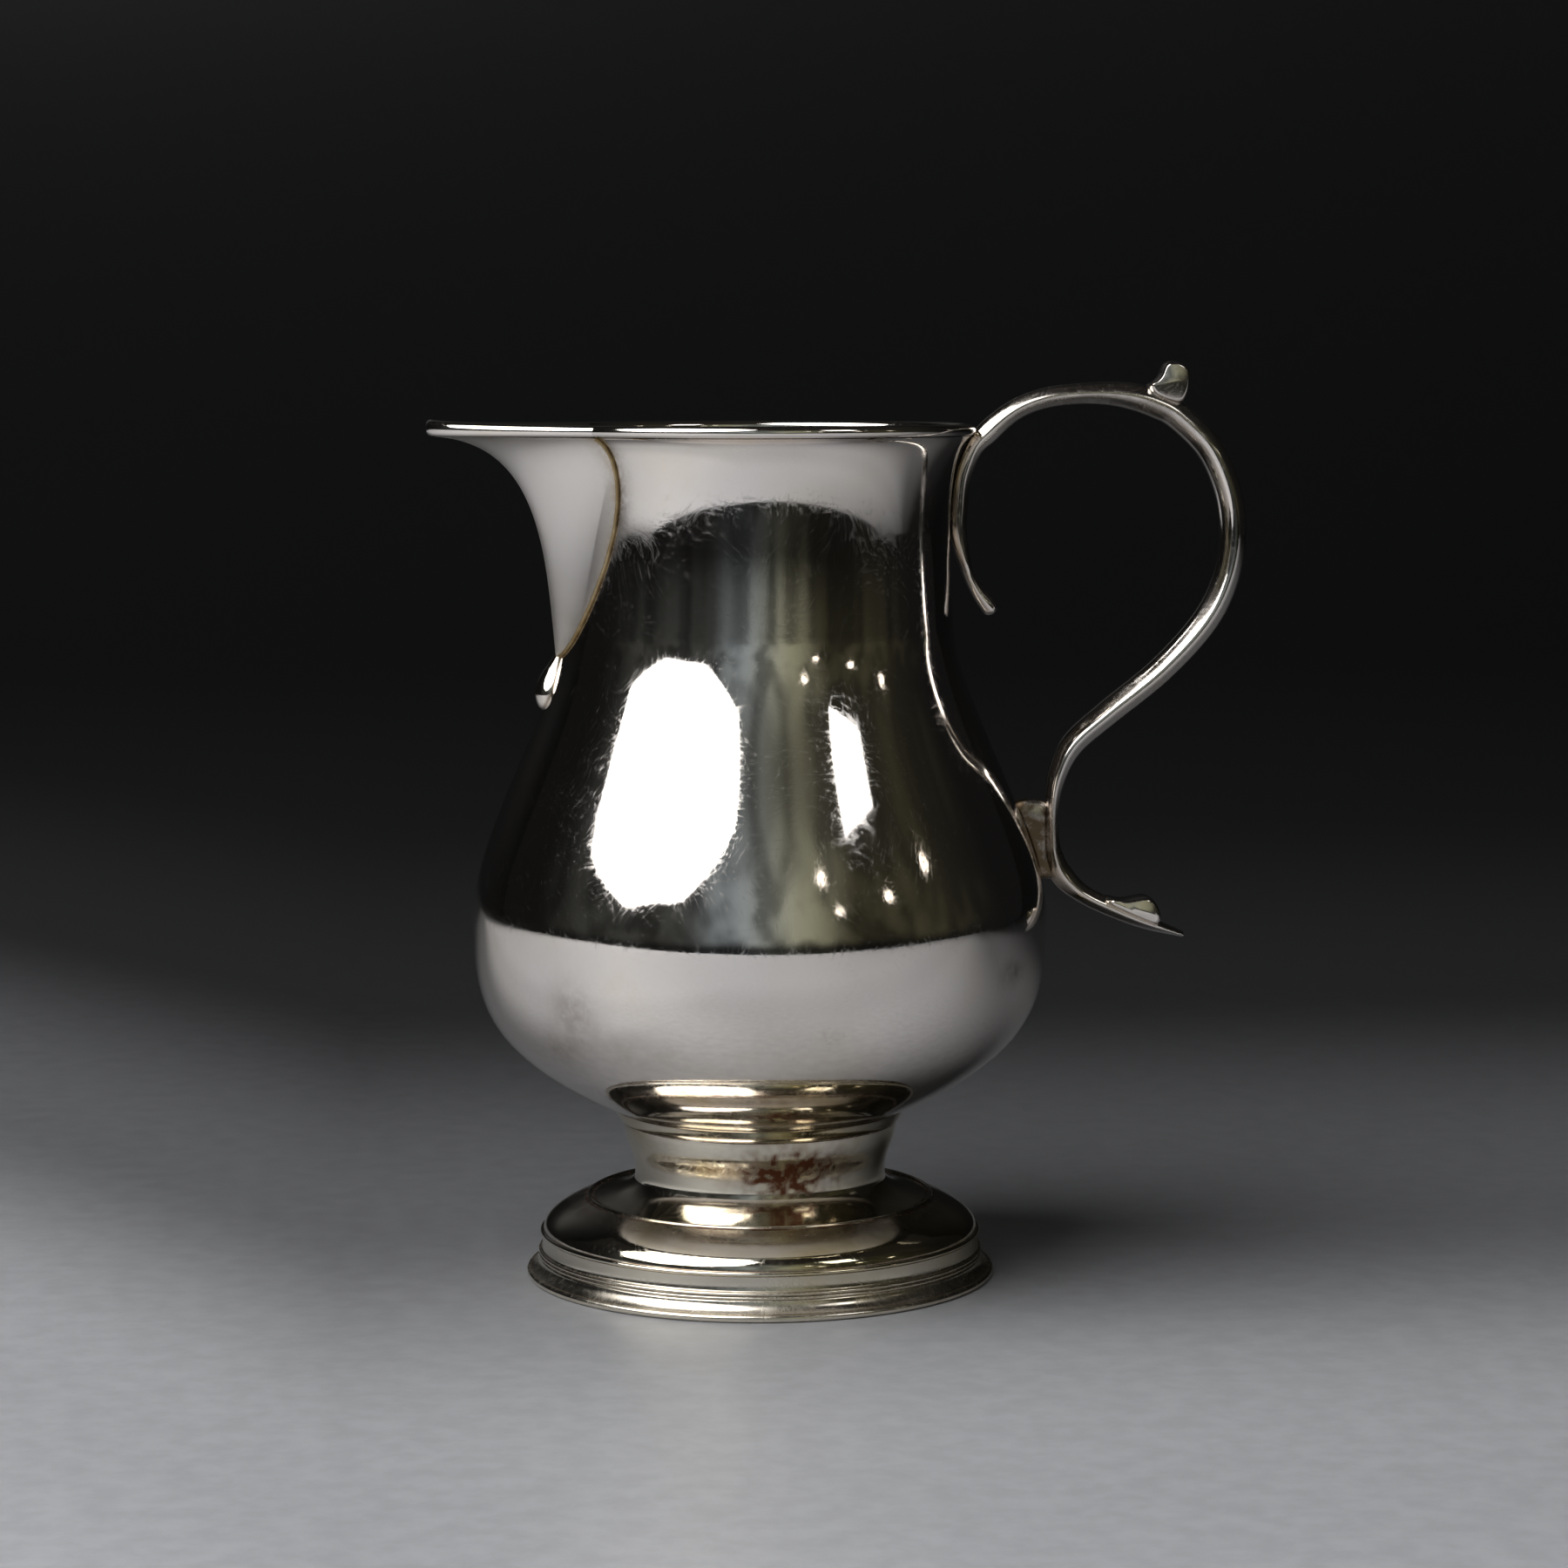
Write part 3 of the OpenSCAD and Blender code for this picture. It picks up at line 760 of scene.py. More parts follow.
@dataclass
class BodyShell:
    """The raised pear-shaped body and the wire on its mouth."""

    neck_r: float = 22.9
    neck_z: float = 76.5
    belly_z: float = 42.5
    mouth_r: float = 25.0
    wall: float = 0.9
    seat_r: float = 17.6
    seat_z: float = 20.1
    bottom_z: float = 17.7
    wire_w: float = 1.5
    wire_h: float = 1.4
    wire_proud: float = 0.4
    seam_half_w: float = 15.2
    seam_foot_z: float = 73.6
    seam_power: float = 2.1
    seam_least: float = 1.2
    seam_lap: float = 1.2
    opening_foot_z: float = 77.6
    opening_round: float = 4.5
    mouth_thins: float = 2.5
    wide_dents: float = 0.045
    small_dents: float = 0.012
    columns: int = 228
    stains: tuple[Stain, ...] = (
        Stain(-44, 35, 6, 3.5, 0.42), Stain(-51, 30, 5, 2, 0.3), Stain(54, 38.3, 4, 1.5, 0.6),
        Stain(-30, 31, 9, 2, 0.2), Stain(160, 36, 12, 4, 0.35), Stain(-150, 52, 8, 5, 0.25))
    mouth_z: float = field(init=False)
    belly_r: float = field(init=False)

    def __post_init__(self) -> None:
        """Takes the height of the mouth and the belly's radius from the frame."""
        self.mouth_z = high("body")
        self.belly_r = reach("body")
        self.profile = self.outside()
        above = self.profile[self.profile[:, 1] > self.seat_z - 0.01]
        order = np.argsort(above[:, 1])
        self.heights, self.radii = above[order, 1], above[order, 0]

    def build(self, sweep: WireSweep) -> None:
        """Builds and dresses the sheet and the mouth's wire."""
        metal = BODY_FINISH.build()
        dress(self.shell(), metal, Slot.BODY, "body")
        dress(self.mouth_wire(sweep, metal), metal, Slot.BODY, "mouth_wire")

    def outside(self) -> Points:
        """The outer profile.

        Returns:
            Points of [radius, height], from the middle of the bottom to the edge of the mouth.
        """
        rise = self.mouth_z - self.neck_z
        taper, shoulder, neck = 0.064, 7.9, 0.46 * rise
        under = bezier([[0, self.bottom_z], [7, self.bottom_z], [12, 18.5], [16.2, 19.6]], 14)
        bowl = bezier([
            [self.seat_r, self.seat_z],
            [self.seat_r + 0.9 * (self.belly_r - self.seat_r), self.seat_z + 7],
            [self.belly_r, self.belly_z - 9.9],
            [self.belly_r, self.belly_z],
        ], 56)
        side = bezier([
            [self.belly_r, self.belly_z],
            [self.belly_r, self.belly_z + 9.6],
            [self.neck_r + taper * shoulder, self.neck_z - shoulder],
            [self.neck_r, self.neck_z],
        ], 64)
        top = bezier([
            [self.neck_r, self.neck_z],
            [self.neck_r - taper * neck, self.neck_z + neck],
            [self.neck_r - 1, self.neck_z + 0.92 * rise],
            [self.mouth_r, self.mouth_z],
        ], 46)
        return np.vstack([under, bowl, side[1:], top[1:]])

    def radius(self, z: float | Points) -> float | Points:
        """Radius of the outside at a height."""
        return np.interp(z, self.heights, self.radii)

    def seam(self, z: float | Points) -> float | Points:
        """Half the width of the spout's seam at a height."""
        t = np.clip((self.mouth_z - z) / (self.mouth_z - self.seam_foot_z), 0, 1)
        return np.maximum(self.seam_least, self.seam_half_w * np.sqrt(1 - t**self.seam_power))

    def opening(self, z: float) -> float:
        """Half the width of the opening behind the spout at a height, 0 below its foot."""
        start = float(np.clip((z - self.opening_foot_z) / self.opening_round, 0, 1))
        return max(0.0, float(self.seam(z)) - self.seam_lap) * math.sqrt(start)

    def inside(self) -> Points:
        """The inner profile, which meets the outer one's height at the mouth.

        Returns:
            One point for each point of the outer profile.
        """
        outer = self.profile
        inner = beside(outer, self.wall)
        inner[0] = [0, self.bottom_z + self.wall]
        inner[:, 0] = np.maximum(inner[:, 0], 0)
        ease = np.clip((outer[:, 1] - (self.mouth_z - self.mouth_thins)) / self.mouth_thins, 0, 1)
        inner[:, 1] = np.minimum(inner[:, 1] * (1 - ease) + outer[:, 1] * ease, self.mouth_z)
        return inner

    def shell(self) -> bpy.types.Object:
        """Builds the sheet of the body, open behind the spout.

        Returns:
            The piece.
        """
        outer, inner = self.profile, self.inside()
        share = np.linspace(0, 1, self.columns)
        rows, cols = len(outer), self.columns
        points = np.zeros((2, rows, cols, 3))
        for layer, line in enumerate((outer, inner)):
            for j, (r, z) in enumerate(line):
                half = self.opening(outer[j, 1])
                gap = math.asin(min(0.95, half / max(outer[j, 0], 1.0)))
                turn = math.pi + gap + share * (2 * math.pi - 2 * gap)
                points[layer, j] = around(r, turn, z)
        self.work_by_hand(points)
        spread = points.reshape(-1, 3)
        return make_piece("body_sheet", spread, self.faces(rows, cols), self.darkness(spread))

    def faces(self, rows: int, cols: int) -> list:
        """Faces of the two layers, of the mouth's edge and of the opening's two edges.

        Args:
            rows: points from the bottom to the mouth.
            cols: points round the body.

        Returns:
            The faces as tuples of point numbers.
        """
        faces = []
        flat = rows * cols
        for j in range(rows - 1):
            for i in range(cols - 1):
                a = j * cols + i
                faces.append((a, a + 1, a + cols + 1, a + cols))
                b = a + flat
                faces.append((b, b + cols, b + cols + 1, b + 1))
        top = (rows - 1) * cols
        for i in range(top, top + cols - 1):
            faces.append((i, i + 1, flat + i + 1, flat + i))
        for j in range(rows - 1):
            if self.profile[j + 1, 1] > self.opening_foot_z:
                first, last = j * cols, (j + 1) * cols - 1
                faces.append((first, first + cols, flat + first + cols, flat + first))
                faces.append((flat + last, flat + last + cols, last + cols, last))
        return faces

    def work_by_hand(self, points: Points) -> None:
        """Sets every point of the sheet in by a few hundredths, as hammering leaves it.

        Args:
            points: the sheet's points by layer, row and column, which are changed.
        """
        for j in range(points.shape[1]):
            for i in range(points.shape[2]):
                x, y, z = points[0, j, i]
                radius = math.hypot(x, y)
                if radius < 4:
                    continue
                wide = noise.noise(Vector((x, y, z)) / 15.0)
                small = noise.noise(Vector((x, y, z)) / 7.0 + Vector((9, 4, 2)))
                step = self.wide_dents * (1 + wide) / 2 + self.small_dents * (1 + small) / 2
                points[:, j, i, :2] *= 1 - step / radius

    def darkness(self, points: Points) -> Points:
        """Tarnish beside the spout's seam, in the foot's joint and in stains, and painted shade all over
        the inside.

        Args:
            points: the sheet's points.

        Returns:
            A value for each point, 0 to 1.
        """
        x, y, z = points.T
        far = 20.0
        near = np.abs(np.abs(y) - self.seam(z))
        foot = np.hypot(z - self.seam_foot_z, np.maximum(0, np.abs(y) - 6))
        near = np.where(z > self.seam_foot_z - 1, near, foot)
        near = np.where(x < 0, near, far)
        seam = 0.75 * np.exp(-(near / 1.1) ** 2)
        seat = 0.8 * np.exp(-((z - self.seat_z) / 0.5) ** 2)
        # painted shade: the whole inside is darkened, as the jug's own walls shade it
        inside = np.where(np.hypot(x, y) < self.radius(z) - 0.5, 0.22, 0.0)
        turn = np.degrees(np.arctan2(x, -y))
        stains = sum(stain.depth * np.exp(-(((turn - stain.turn) / stain.wide) ** 2)
                                          - ((z - stain.level) / stain.tall) ** 2)
                     for stain in self.stains)
        return np.clip(seam + seat + inside + stains, 0, 1)

    def mouth_wire(self, sweep: WireSweep, metal: bpy.types.Material) -> bpy.types.Object:
        """Lays the rounded wire on the mouth's edge, open where the spout starts.

        Args:
            sweep: what lays it.
            metal: its material.

        Returns:
            The piece.
        """
        middle = self.mouth_r + self.wire_proud - self.wire_w / 2
        gap = math.asin(self.seam_half_w / self.mouth_r)
        turn = np.linspace(math.pi + gap, 3 * math.pi - gap, 260)
        line = around(middle, turn, self.mouth_z + self.wire_h / 2)
        return sweep.lay("mouth_edge_wire", line, self.wire_w, self.wire_h, metal)


# ---------------------------------------------------------------- spout


@dataclass
class Spout:
    """The beak, its edge wire, its solder seam and the drop below it."""

    shell: BodyShell
    foot_proud: float = 0.5
    wall: float = 0.9
    lap: float = 0.9
    tip_rise: float = 0.6
    drop_l: float = 6.2
    drop_r: float = 2.7
    drop_proud: float = 1.8
    drop_sink: float = 0.1
    seam_w: float = 0.42
    seam_proud: float = 0.12
    levels: int = 96
    side_steps: int = 44
    gap: float = 0.02

    def __post_init__(self) -> None:
        """Takes the tip's reach from the frame."""
        self.reach = -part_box("spout")[0].x / MM

    def build(self, sweep: WireSweep) -> None:
        """Builds and dresses the beak, its wire, the drop and the solder."""
        metal, solder = SPOUT_FINISH.build(), SOLDER_FINISH.build()
        dress(self.beak(), BEAK_FINISH.build(), Slot.SPOUT, "spout")
        dress(self.edge_wire(), metal, Slot.SPOUT, "spout_wire")
        dress(self.drop(), metal, Slot.SPOUT, "spout_drop")
        dress(self.seam(sweep, solder), solder, Slot.SPOUT)

    def keel(self) -> Points:
        """The spout's keel, from its foot to its tip.

        Returns:
            Points of [distance from the axis, height].
        """
        body, foot_z = self.shell, self.shell.seam_foot_z
        rise = body.mouth_z - foot_z
        foot = float(body.radius(foot_z)) + self.foot_proud
        return bezier([
            [foot, foot_z], [foot + 1.1, foot_z + 0.46 * rise],
            [foot + 1.5, body.mouth_z - 0.6], [self.reach, body.mouth_z],
        ], self.levels)

    def side(self, seam: Sequence[float], nose: Sequence[float]) -> Points:
        """Plan of one side at one height, from the seam on the +Y side to the keel."""
        seam, nose = np.array(seam, float), np.array(nose, float)
        return bezier([seam, seam + 0.36 * (nose - seam), [nose[0], 0.3 * seam[1]], nose], self.side_steps)

    @staticmethod
    def both(half: Points) -> Points:
        """A side and its mirror image, as one run."""
        other = half[::-1][1:] * np.array([1, -1])
        return np.vstack([half, other])

    def beak(self) -> bpy.types.Object:
        """Builds the spout's sheet.

        Returns:
            The piece.
        """
        rings = []
        for k, z in self.keel():
            r = float(self.shell.radius(z)) + self.gap
            half = float(self.shell.seam(z))
            outer = self.both(self.side([-math.sqrt(r * r - half * half), half], [-k, 0]))
            within = max(0.3, half - self.lap)
            inner = self.both(self.side([-math.sqrt(r * r - within * within), within],
                                        [-max(k - self.wall, r), 0]))
            far = np.linalg.norm(inner, axis=1)
            inner *= (np.maximum(far, r) / far)[:, None]
            ring = np.vstack([outer, inner[::-1]])
            rings.append(np.column_stack([ring, np.full(len(ring), z)]))
        return loft("spout_beak", rings, self.darkness)

    def darkness(self, points: Points) -> Points:
        """Yellow-brown tarnish that fades away from the seam.

        Args:
            points: the sheet's points.

        Returns:
            A value for each point, 0 to 1.
        """
        z = points[:, 2]
        near = np.abs(self.shell.seam(z) - np.abs(points[:, 1]))
        low_end = np.abs(z - self.shell.seam_foot_z)
        near = np.minimum(near, low_end + 0.3)
        return 0.75 * np.exp(-near)

    def seam(self, sweep: WireSweep, metal: bpy.types.Material) -> bpy.types.Object:
        """Lays the thin run of solder along the seam.

        Args:
            sweep: what lays it.
            metal: its material.

        Returns:
            The piece.
        """
        turn, foot = self.shell.seam_foot_z + 2.2, self.shell.seam_foot_z + 0.1
        z = np.concatenate([np.linspace(self.shell.mouth_z - 0.1, turn, 90),
                            turn - (turn - foot) * np.linspace(0, 1, 40)[1:] ** 0.7])
        half = self.shell.seam(z)
        half[-1] = self.shell.seam_least
        r = self.shell.radius(z) + self.seam_proud
        one = np.stack([-np.sqrt(r * r - half * half), half, z], axis=1)
        other = one[::-1] * np.array([1, -1, 1])
        return sweep.lay("spout_seam_solder", np.vstack([one, other]), self.seam_w, self.seam_w, metal,
                         darkness=0.55)

    def edge_wire(self) -> bpy.types.Object:
        """Builds the wire along the spout's edges, which rises towards the tip.

        Returns:
            The piece.
        """
        body = self.shell
        middle = body.mouth_r + body.wire_proud - body.wire_w / 2
        gap = math.asin(body.seam_half_w / (body.mouth_r + self.gap))
        start = [-middle * math.cos(gap), middle * math.sin(gap)]
        path = self.both(self.side(start, [-self.reach, 0]))
        tangents = directions(path)
        last = len(path) - 1
        angles = np.linspace(0, 2 * np.pi, WIRE_SIDES, endpoint=False) + np.pi / WIRE_SIDES
        rings = []
        for i, (p, t) in enumerate(zip(path, tangents)):
            out = p / np.linalg.norm(p) if i in (0, last) else np.array([t[1], -t[0]])
            rise = body.wire_h + self.tip_rise * (1 - abs(2 * i / last - 1)) ** 2
            ring = [np.append(p + 0.5 * body.wire_w * math.cos(a) * out,
                              body.mouth_z + rise * (0.5 + 0.5 * math.sin(a))) for a in angles]
            rings.append(np.roll(np.array(ring), WIRE_SIDES // 4, axis=0))
        return loft("spout_edge_wire", rings)

    def drop(self) -> bpy.types.Object:
        """Builds the cast drop below the spout.

        Returns:
            The piece.
        """
        shares_of_length_width_and_depth = [
            [0, 0.12, 0.0], [0.02, 0.4, 0.14], [0.06, 0.68, 0.34], [0.15, 0.88, 0.6], [0.3, 1, 0.88],
            [0.45, 0.97, 1], [0.6, 0.8, 0.97], [0.75, 0.6, 0.8], [0.88, 0.48, 0.6], [1, 0.42, 0.45],
        ]
        foot_z = self.shell.seam_foot_z - self.drop_l
        rings = []
        turn = np.linspace(0, np.pi, 33)
        for share, wide, proud in through(shares_of_length_width_and_depth, 6):
            z = foot_z + share * self.drop_l
            y = wide * self.drop_r * np.cos(turn)
            r = float(self.shell.radius(z))
            back = -np.sqrt((r - self.drop_sink) ** 2 - y * y)
            swell = max(proud, 0.02) * self.drop_proud * np.sin(turn)
            front = -np.sqrt(r * r - y * y) - swell - self.gap
            ring = np.vstack([np.column_stack([front, y]), np.column_stack([back, y])[::-1]])
            rings.append(np.column_stack([ring, np.full(len(ring), z)]))
        return loft("spout_drop_casting", rings, self.drop_darkness)

    def drop_darkness(self, points: Points) -> Points:
        """Tarnish round the drop's edge, where it meets the body."""
        stand = np.hypot(points[:, 0], points[:, 1]) - self.shell.radius(points[:, 2])
        return np.clip(0.8 * np.exp(-np.maximum(stand, 0) / 0.3), 0, 1)


# ---------------------------------------------------------------- foot


@dataclass
class Foot:
    """The spreading foot: base wire, moulded skirt, bead, dome, stem and collar."""

    wall: float = 0.9
    flare_w: float = 1.8
    dome_w: float = 5.7
    dome_h: float = 3.8
    line_h: float = 0.3
    bead_w: float = 0.85
    ridge_feet: tuple[float, ...] = (1.4, 1.85)
    grooves: tuple[float, ...] = (1.36, 1.83, 2.3)
    stem_r: float = 14.85
    stem_top_r: float = 16.3
    seat_w: float = 1.4
    seat_rise: float = 0.5

    def __post_init__(self) -> None:
        """Takes the foot's radii and heights from the frame."""
        self.foot_r = reach("base_wire")
        self.skirt_r = self.foot_r - self.flare_w
        self.inner_r = self.skirt_r - self.wall
        self.line_r = self.skirt_r - self.dome_w
        self.skirt_z = high("base_wire")
        self.bead_z = low("foot_bead")
        self.dome_z = high("foot_bead")
        self.stem_z = low("foot_stem")
        self.collar_z = high("foot_stem")
        self.seat_z = high("foot_collar")
        self.collar_r = reach("foot_collar")
        self.line_z = self.dome_z + self.dome_h

    def build(self, sweep: WireSweep) -> None:
        """Builds and dresses the foot's six rings."""
        grainy, metal = BASE_FINISH.build(), FOOT_FINISH.build()
        dress(self.base_wire(), grainy, Slot.FOOT, "base_wire")
        dress(self.skirt(), grainy, Slot.FOOT, "foot_skirt")
        dress(self.bead(sweep, metal), metal, Slot.FOOT, "foot_bead")
        dress(self.dome(), metal, Slot.FOOT, "foot_dome")
        dress(self.stem(), metal, Slot.FOOT, "foot_stem")
        dress(self.collar(), metal, Slot.FOOT, "foot_collar")

    def base_wire(self) -> bpy.types.Object:
        """Turns the wire that the jug stands on.

        Returns:
            The piece.
        """
        r, h = self.foot_r, self.skirt_z
        bulge = 0.45
        arc = [[r - bulge + bulge * math.cos(a), h / 2 + 0.5 * h * math.sin(a)]
               for a in np.radians(np.linspace(-88, 88, 19))]
        return turned("foot_base_wire", [[self.inner_r, 0]] + arc + [[self.inner_r, h]], self.dirt_and_contact_shadow)

    def dirt_and_contact_shadow(self, points: Points) -> Points:
        """Dirt at the top edge of the base wire, and a painted contact shadow on its underside, where it
        stands on the table.
        """
        z = points[:, 2]
        # the first term is the painted contact shadow on the underside, the second the dirt in the top
        # joint
        return np.clip(0.35 * np.exp(-z / 0.12) + 0.7 * np.exp(-(self.skirt_z - z) / 0.1), 0, 1)

    def skirt(self) -> bpy.types.Object:
        """Turns the moulded strip: a grainy flare, two fine ridges and an upright band.

        Returns:
            The piece.
        """
        z, r = self.skirt_z, self.skirt_r
        flare = bezier([[self.foot_r - 0.55, z], [self.foot_r - 1.0, z + 0.25],
                        [r + 0.35, z + 0.7], [r + 0.3, z + 1.25]], 14)
        half_h = 0.2
        ridges = [[r + 0.18 + half_h * math.sin(a), z + foot + half_h * (1 - math.cos(a))]
                  for foot in self.ridge_feet for a in np.radians(np.linspace(0, 180, 9))]
        band = bezier([[r + 0.02, z + 2.35], [r - 0.12, z + 2.9],
                       [r - 0.12, z + 3.5], [r - 0.05, self.bead_z]], 12)
        outside = flare.tolist() + ridges + band.tolist()
        return turned("foot_skirt_strip", [[self.inner_r, z]] + outside + [[self.inner_r, self.bead_z]],
                      self.skirt_dirt)

    def skirt_dirt(self, points: Points) -> Points:
        """Dirt in the flare and between the ridges.

        Args:
            points: the piece's points.

        Returns:
            A value for each point, 0 to 1.
        """
        z = points[:, 2] - self.skirt_z
        grooves = sum(np.exp(-((z - at) / 0.09) ** 2) for at in self.grooves)
        return np.clip(0.75 * grooves + 0.3 * np.exp(-((z - 0.5) / 0.5) ** 2), 0, 1)

    def bead(self, sweep: WireSweep, metal: bpy.types.Material) -> bpy.types.Object:
        """Lays the fine bead between skirt and dome.

        Args:
            sweep: what lays it.
            metal: its material.

        Returns:
            The piece.
        """
        height = self.dome_z - self.bead_z
        turn = np.linspace(0, 2 * np.pi, ROUND_STEPS, endpoint=False)
        line = around(self.skirt_r - 0.25, turn, self.bead_z + height / 2)
        return sweep.lay("foot_bead_wire", line, self.bead_w, height, metal, closed=True)

    def dome(self) -> bpy.types.Object:
        """Turns the domed ring, its raised line and the hollow slope up to the stem.

        Returns:
            The piece.
        """
        edge = self.skirt_r - 0.2
        z0, z1 = self.dome_z, self.line_z
        rise = self.stem_z - z1
        across = self.line_r - self.stem_r
        dome = bezier([[edge, z0], [edge - 0.1, z0 + 0.45 * (z1 - z0)],
                       [self.line_r + 0.44 * self.dome_w, z1 - 1], [self.line_r + 0.3, z1]], 40)
        line = np.array([[self.line_r + 0.26 * math.cos(a), z1 - 0.02 + self.line_h * math.sin(a)]
                         for a in np.radians(np.linspace(10, 170, 11))])
        slope = bezier([
            [self.line_r - 0.28, z1],
            [self.line_r - 0.5 * across, z1 + 0.25 * rise],
            [self.stem_r + 0.2 * across, z1 + 0.4 * rise],
            [self.stem_r + 0.12, self.stem_z],
        ], 30)
        inside = beside(np.vstack([dome, slope]), self.wall)
        inside[:, 0] = np.minimum(inside[:, 0], edge - self.wall)
        inside[:, 1] = np.clip(inside[:, 1], z0, self.stem_z)
        inside[-1] = [self.stem_r - self.wall, self.stem_z]
        return turned("foot_dome_ring", np.vstack([dome, line, slope, inside[::-1]]), self.dome_dirt)

    def dome_dirt(self, points: Points) -> Points:
        """Brown tarnish beside the raised line, at the bead and on the slope.

        Args:
            points: the piece's points.

        Returns:
            A value for each point, 0 to 1.
        """
        radius, z = np.hypot(points[:, 0], points[:, 1]), points[:, 2]
        beside_line = 0.8 * np.exp(-((np.abs(radius - self.line_r) - 0.42) / 0.2) ** 2)
        at_bead = 0.8 * np.exp(-(z - self.dome_z) / 0.15)
        slope = 0.16 * (radius < self.line_r)
        below = 0.42 * np.exp(-((radius - self.line_r - 1.6) / 1.3) ** 2)
        return np.clip(beside_line + at_bead + slope + below, 0, 1)

    def stem(self) -> bpy.types.Object:
        """Turns the waisted stem.

        Returns:
            The piece.
        """
        rise = self.collar_z - self.stem_z
        swells = ((0, 0.12), (0.07, 0.02), (0.15, 0.0), (0.29, 0.1), (0.43, 0.34), (0.58, 0.7),
                  (0.72, 1.05), (0.87, 1.29), (1, 1.4))
        outside = through([[self.stem_r + swell, self.stem_z + share * rise] for share, swell in swells], 6)
        lip = np.array([[self.stem_top_r - 0.12, self.collar_z]])
        inner = outside[::-1] - np.array([self.wall, 0])
        return turned("foot_stem_spool", np.vstack([outside[:-1], lip, inner]), self.stem_dirt)

    def stem_dirt(self, points: Points) -> Points:
        """The reddish speckled patch on the stem, and the dark joint at its top.

        Args:
            points: the piece's points.

        Returns:
            A value for each point, 0 to 1.
        """
        x, y, z = points.T
        turn = np.arctan2(x, -y)
        height = (z - self.stem_z) / (self.collar_z - self.stem_z)
        patch = np.exp(-((turn - 0.17) / 0.36) ** 2 - ((height - 0.42) / 0.38) ** 2)
        speckle = np.array([noise.noise(Vector(point) / 0.8) for point in points])
        patch *= np.clip(1.1 + 2.2 * speckle, 0.2, 2)
        joint = 0.9 * np.exp(-(self.collar_z - z) / 0.16)
        return np.clip(1.2 * patch + joint, 0, 1)

    def collar(self) -> bpy.types.Object:
        """Turns the ring between the two dark joint lines.

        Returns:
            The piece.
        """
        z0, z1 = self.collar_z, self.seat_z
        face = bezier([[self.stem_top_r + 0.02, z0], [self.stem_top_r + 0.42, z0 + 0.12],
                       [self.collar_r - 0.55, z1 - 0.62], [self.collar_r - 0.3, z1 - 0.2]], 20)
        ring = [[self.stem_top_r - self.wall, z0]] + face.tolist() + [
            [self.collar_r - 0.05, z1 - 0.05], [self.collar_r - 0.15, z1],
            [self.collar_r - self.seat_w, z1 - self.seat_rise]]
        return turned("foot_collar_ring", ring, self.collar_dirt)

    def collar_dirt(self, points: Points) -> Points:
        """Dirt at both joints of the collar.

        Args:
            points: the piece's points.

        Returns:
            A value for each point, 0 to 1.
        """
        z = points[:, 2]
        below = 0.9 * np.exp(-(z - self.collar_z) / 0.12)
        above = 0.8 * np.exp(-(self.seat_z - z) / 0.18)
        return np.clip(below + above, 0, 1)


# ---------------------------------------------------------------- handle


